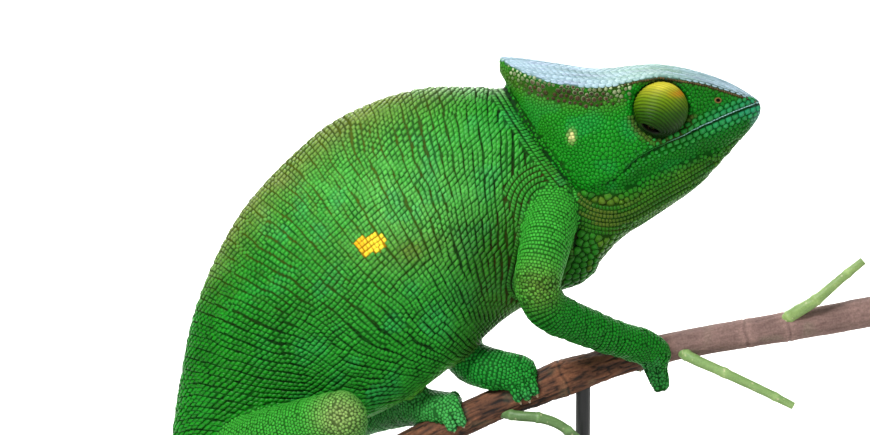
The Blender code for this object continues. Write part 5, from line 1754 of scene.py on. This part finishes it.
for label, side in (("right", -1), ("left", 1)):
    roots, directions, _ = on_skin(NOSTRIL[None] * (1, side, 1))
    dense = smoothed(NOSTRIL_PROFILE, 33)
    cup = turned_points(dense, roots[0], directions[0], 28, 1.3)
    depth = np.linspace(0, 1, 33)[:, None] + 0 * cup[..., 0]
    colours = mix("#145A0C", "#7A5A34", depth * 3.2 - 0.3 + 0.3 * noise(cup, 0.5, 91))
    # Painted shade: the inside of the opening is near black
    colours = mix(colours, "#0A0603", (depth - 0.4) * 6.0)
    add_piece("nostril_" + label, grid_mesh("nostril_" + label, cup, colours), hide, "green_skin")

# --- Eye turrets ---------------------------------------------------------------------------
# A cone of lid skin covers the whole eye but for a small hole. Its skin lies in fine rings round
# the hole that slide over each other as the eye turns: yellow above, olive below, with beads
# of small scales near the hole.
RIGHT_GAZE = unit(np.array((-0.40, -0.64, -0.655)))
LEFT_GAZE = unit(np.array((0.40, 0.90, 0.10)))
SLIT = (3.4, 1.45)
SLIT_WAY = np.array((0.95, 0.0, -0.31))
WRINKLE_PITCH = 1.32
EYE_RADIUS = 2.35
LID_RINGS = 190
LID_SPOKES = 180
LID_BEAD = 0.8
LID_PIT = ((0.97, 0.4), (0.93, 0.9), (0.86, 1.6), (0.76, 2.6))
LID_CREASE = 0.35
LID_SWELL, LID_BEAD_SWELL, LID_SUNK = 0.32, 0.12, 0.30

lid_skin = painted_material("wrinkled_lid_skin", 0.42, 1.45, specular=0.12, speck=LID_CREASE,
                            bump=(0.35, 0.06))
cornea = painted_material("wet_cornea", 0.06, 1.38)
wet_front = cornea.node_tree.nodes["Principled BSDF"]
wet_front.inputs["Coat Weight"].default_value = 1.0
wet_front.inputs["Coat Roughness"].default_value = 0.03


def lid_surface(centre, gaze):
    """The turret's skin, from its root round to the slit and in behind it, and its colours.

    Each ring lies at one distance from the slit's edge. It is raised by the root of a sine across
    each wrinkle, and near the slit by a row of beads along the wrinkle.
    """
    level = unit(SLIT_WAY - (SLIT_WAY @ gaze) * gaze)
    steep = np.cross(gaze, level)
    turn = full_turn(LID_SPOKES)
    spoke = np.cos(turn)[:, None] * level + np.sin(turn)[:, None] * steep
    rim = SLIT[0] * SLIT[1] / np.hypot(SLIT[1] * np.cos(turn), SLIT[0] * np.sin(turn)) / TURRET_RADIUS
    beyond = np.linspace(math.radians(176.0), 0.0, LID_RINGS)[:, None]
    polar = rim + beyond * (1 - rim / math.pi)
    away = np.cos(polar)[..., None] * gaze + np.sin(polar)[..., None] * spoke
    ball = centre + TURRET_RADIUS * away
    arc = beyond * TURRET_RADIUS + 0.9 * (noise(ball, 4.5, 95) - 0.5)
    ridge = np.sin(math.pi * ((arc / WRINKLE_PITCH) % 1.0)) ** 0.5
    bead_count = np.maximum(np.round(2 * math.pi * np.sin(polar) * TURRET_RADIUS / LID_BEAD), 6)
    beads = np.abs(np.cos(0.5 * bead_count * turn + 1.7 * np.floor(arc / WRINKLE_PITCH))) ** 0.6
    beaded = np.clip((6.0 - arc) / 4.0, 0.08, 1.0)
    swell = LID_SWELL * ridge + LID_BEAD_SWELL * beads * beaded * ridge - LID_SUNK
    lid = centre + (TURRET_RADIUS + swell)[..., None] * away
    high = (ball[..., 2] - TURRET_CENTRE[2]) / TURRET_RADIUS
    forward = (ball[..., 0] - TURRET_CENTRE[0]) / TURRET_RADIUS
    between = (1 - ridge) ** 0.7 * np.interp(high, (-0.5, 0.1, 0.75), (0.85, 1.0, 0.6))
    colour = over(
        mix("#062602", "#2E5A06", (high + 0.75) / 0.7),
        ("#6A8810", (high + 0.05) / 0.5),
        ("#A6A82A", (high - 0.45) / 0.3),
        ("#D2C83A", (high - 0.72 + 0.15 * (noise(ball, 3.0, 96) - 0.5)) / 0.15),
        ("#C8820E", near(high - 0.62, 0.12) * np.clip(1.6 * forward - 0.2, 0, 0.9)),
        # Painted shade: dark in the troughs of the wrinkles, in the gaps between the beads and at the
        # slit's edge
        ("#121F02", between),
        ("#0C2A06", 0.6 * (1 - beads) * beaded),
        ("#16140A", 0.9 * near(arc, 0.45)))
    edge = TURRET_RADIUS * np.sin(rim)[:, None] * spoke
    front = TURRET_RADIUS * np.cos(rim)[:, None]
    pit = np.stack([centre + edge * shrink + (front - depth) * gaze for shrink, depth in LID_PIT])
    # Painted shade: the pit inside the slit is near black
    pit_colour = np.broadcast_to(tone("#0A0A06"), pit.shape)
    return np.vstack([lid, pit]), np.vstack([colour, pit_colour])


def eyeball_surface(centre, gaze):
    """A dark brown iris with a fine golden ring and a black pupil, under a clear wet front."""
    bowl = np.linspace(0.02, 0.98, 40) * math.pi
    profile = np.column_stack([EYE_RADIUS * np.sin(bowl), TURRET_RADIUS - 2.0 - 1.15 * np.cos(bowl)])
    eye = turned_points(profile, centre, gaze, 48)
    out = profile[:, :1] + 0 * eye[..., 0]
    return eye, over(mix("#030202", "#140C06", (out - 0.75) / 0.2),
                     ("#5A3E14", 0.5 * near(out - 0.86, 0.10)), ("#080503", (out - 1.7) / 0.4))


for label, side, gaze in (("right", -1, RIGHT_GAZE), ("left", 1, LEFT_GAZE)):
    centre = TURRET_CENTRE * (1, side, 1)
    lid_name, eye_name = "eye_turret_skin_" + label, "eye_" + label
    add_piece(lid_name, grid_mesh(lid_name, *lid_surface(centre, gaze)), lid_skin, "eyelid_skin",
              "eye_turret_" + label)
    add_piece(eye_name, grid_mesh(eye_name, *eyeball_surface(centre, gaze)), cornea, "dark_eye",
              "eyeball_" + label)

# --- Claws ---------------------------------------------------------------------------------
# One short curved claw of pale horn on each toe, darker at the root, polished by climbing.
CLAW_WORN = 0.35

horn = painted_material("claw_horn", 0.3, 1.54)


def worn_short(claw):
    """A claw's points drawn back along it, towards the end that lies higher on the branch."""
    centre, way, _ = branch_axis(claw[:, 0])
    high = (claw - centre)[:, 2] * way[:, 0] - (claw - centre)[:, 0] * way[:, 2]
    angle = np.arctan2(np.abs(claw[:, 1]), high)
    root, tip = claw[angle.argmin()], claw[angle.argmax()]
    run = unit(tip - root)
    return claw - CLAW_WORN * ((claw - root) @ run)[:, None] * run


for grip in GRIP_PLACES:
    limb, label = grip.split("_")
    names = sorted(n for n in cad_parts
                   if n.startswith("claw_" + limb) and "_" + label + "_" in n)
    claws_of_grip = [nodes_copy([name], 0.0) for name in names]
    counts = np.cumsum([0] + [len(claw) for claw, _ in claws_of_grip])
    claw_points = np.vstack([worn_short(claw) for claw, _ in claws_of_grip])
    claw_faces = np.vstack([faces + first for (_, faces), first in zip(claws_of_grip, counts)])
    mesh = new_mesh("claws_" + grip, claw_points, claw_faces.tolist())
    _, reach, bark_radius = from_branch(claw_points)
    paint(mesh, mix("#C9B184", "#6E5A3C", (reach - bark_radius) / 3.0))
    mesh.shade_smooth()
    claws = add_piece("claws_" + grip, mesh, horn, "pale_claw", *names)
    rounding = claws.modifiers.new("rounding", "SUBSURF")
    rounding.levels = 1
    rounding.render_levels = 1

# --- Floor, light and camera ---------------------------------------------------------------
# A pale seamless floor that curves up behind, one large soft light above in front, a weaker one
# from the side and a pale surround.
FLOOR_WIDTH = 8000.0
FLOOR_FRONT = -4000.0
BEND_START = 1500.0
BEND_RADIUS = 900.0
BACKDROP_HEIGHT = 3200.0
FLOOR_TONE = "#EDEDEA"
ROOM_LIGHT = 0.32
AIM = np.array((-5.25, 0.0, 197.6281))
BACKDROP_AIM = np.array((0.0, 2300.0, 300.0))
CAMERA_DISTANCE = 1100.0
CAMERA_ELEVATION = math.radians(8.0)
SENSOR = 36.0
VIEW_WIDTH = 304.5

bend = np.linspace(0.0, math.pi / 2, 40)
profile = np.vstack([(FLOOR_FRONT, 0.0),
                     np.column_stack([BEND_START + BEND_RADIUS * np.sin(bend),
                                      BEND_RADIUS * (1 - np.cos(bend))]),
                     (BEND_START + BEND_RADIUS, BACKDROP_HEIGHT)])
sheet = np.array([(side * FLOOR_WIDTH / 2, y, z) for y, z in profile for side in (-1, 1)])
strips = [(2 * k, 2 * k + 1, 2 * k + 3, 2 * k + 2) for k in range(len(profile) - 1)]
floor_mesh = new_mesh("studio_floor", sheet, strips)
floor_mesh.shade_smooth()
floor = new_object("studio_floor", floor_mesh)
paper, tree, shader = start_material("matt_paper", 0.9)
shader.inputs["Base Color"].default_value = linear(FLOOR_TONE)
floor_mesh.materials.append(paper)

world = bpy.data.worlds.new("pale_room")
bpy.context.scene.world = world
world.use_nodes = True
world.node_tree.nodes["Background"].inputs["Color"].default_value = linear("#EFF2F2")
world.node_tree.nodes["Background"].inputs["Strength"].default_value = ROOM_LIGHT


def aimed(name, data, place, target):
    """A light or camera at a place in millimetres, pointed at a target."""
    placed = new_object(name, data)
    placed.location = place * MM
    placed.rotation_euler = Vector(target - place).to_track_quat("-Z", "Y").to_euler()
    return placed


for name, place, target, size, power in (
        ("key_light", (-520.0, -700.0, 1050.0), AIM, 420.0, 18.0),
        ("side_light", (900.0, -300.0, 520.0), AIM, 520.0, 2.5),
        ("back_light", (-300.0, 900.0, 900.0), AIM, 700.0, 8.0),
        ("backdrop_light", (0.0, 1150.0, 1500.0), BACKDROP_AIM, 1000.0, 70.0)):
    lamp = bpy.data.lights.new(name, "AREA")
    lamp.shape = "SQUARE"
    lamp.size = size * MM
    lamp.energy = power
    aimed(name, lamp, np.array(place), target)

camera = bpy.data.cameras.new("camera")
camera.sensor_width = SENSOR
camera.lens = SENSOR * CAMERA_DISTANCE / VIEW_WIDTH
eye_line = np.array((0.0, -math.cos(CAMERA_ELEVATION), math.sin(CAMERA_ELEVATION)))
bpy.context.scene.camera = aimed("camera", camera, AIM + CAMERA_DISTANCE * eye_line, AIM)
bpy.context.scene.view_settings.view_transform = "Standard"
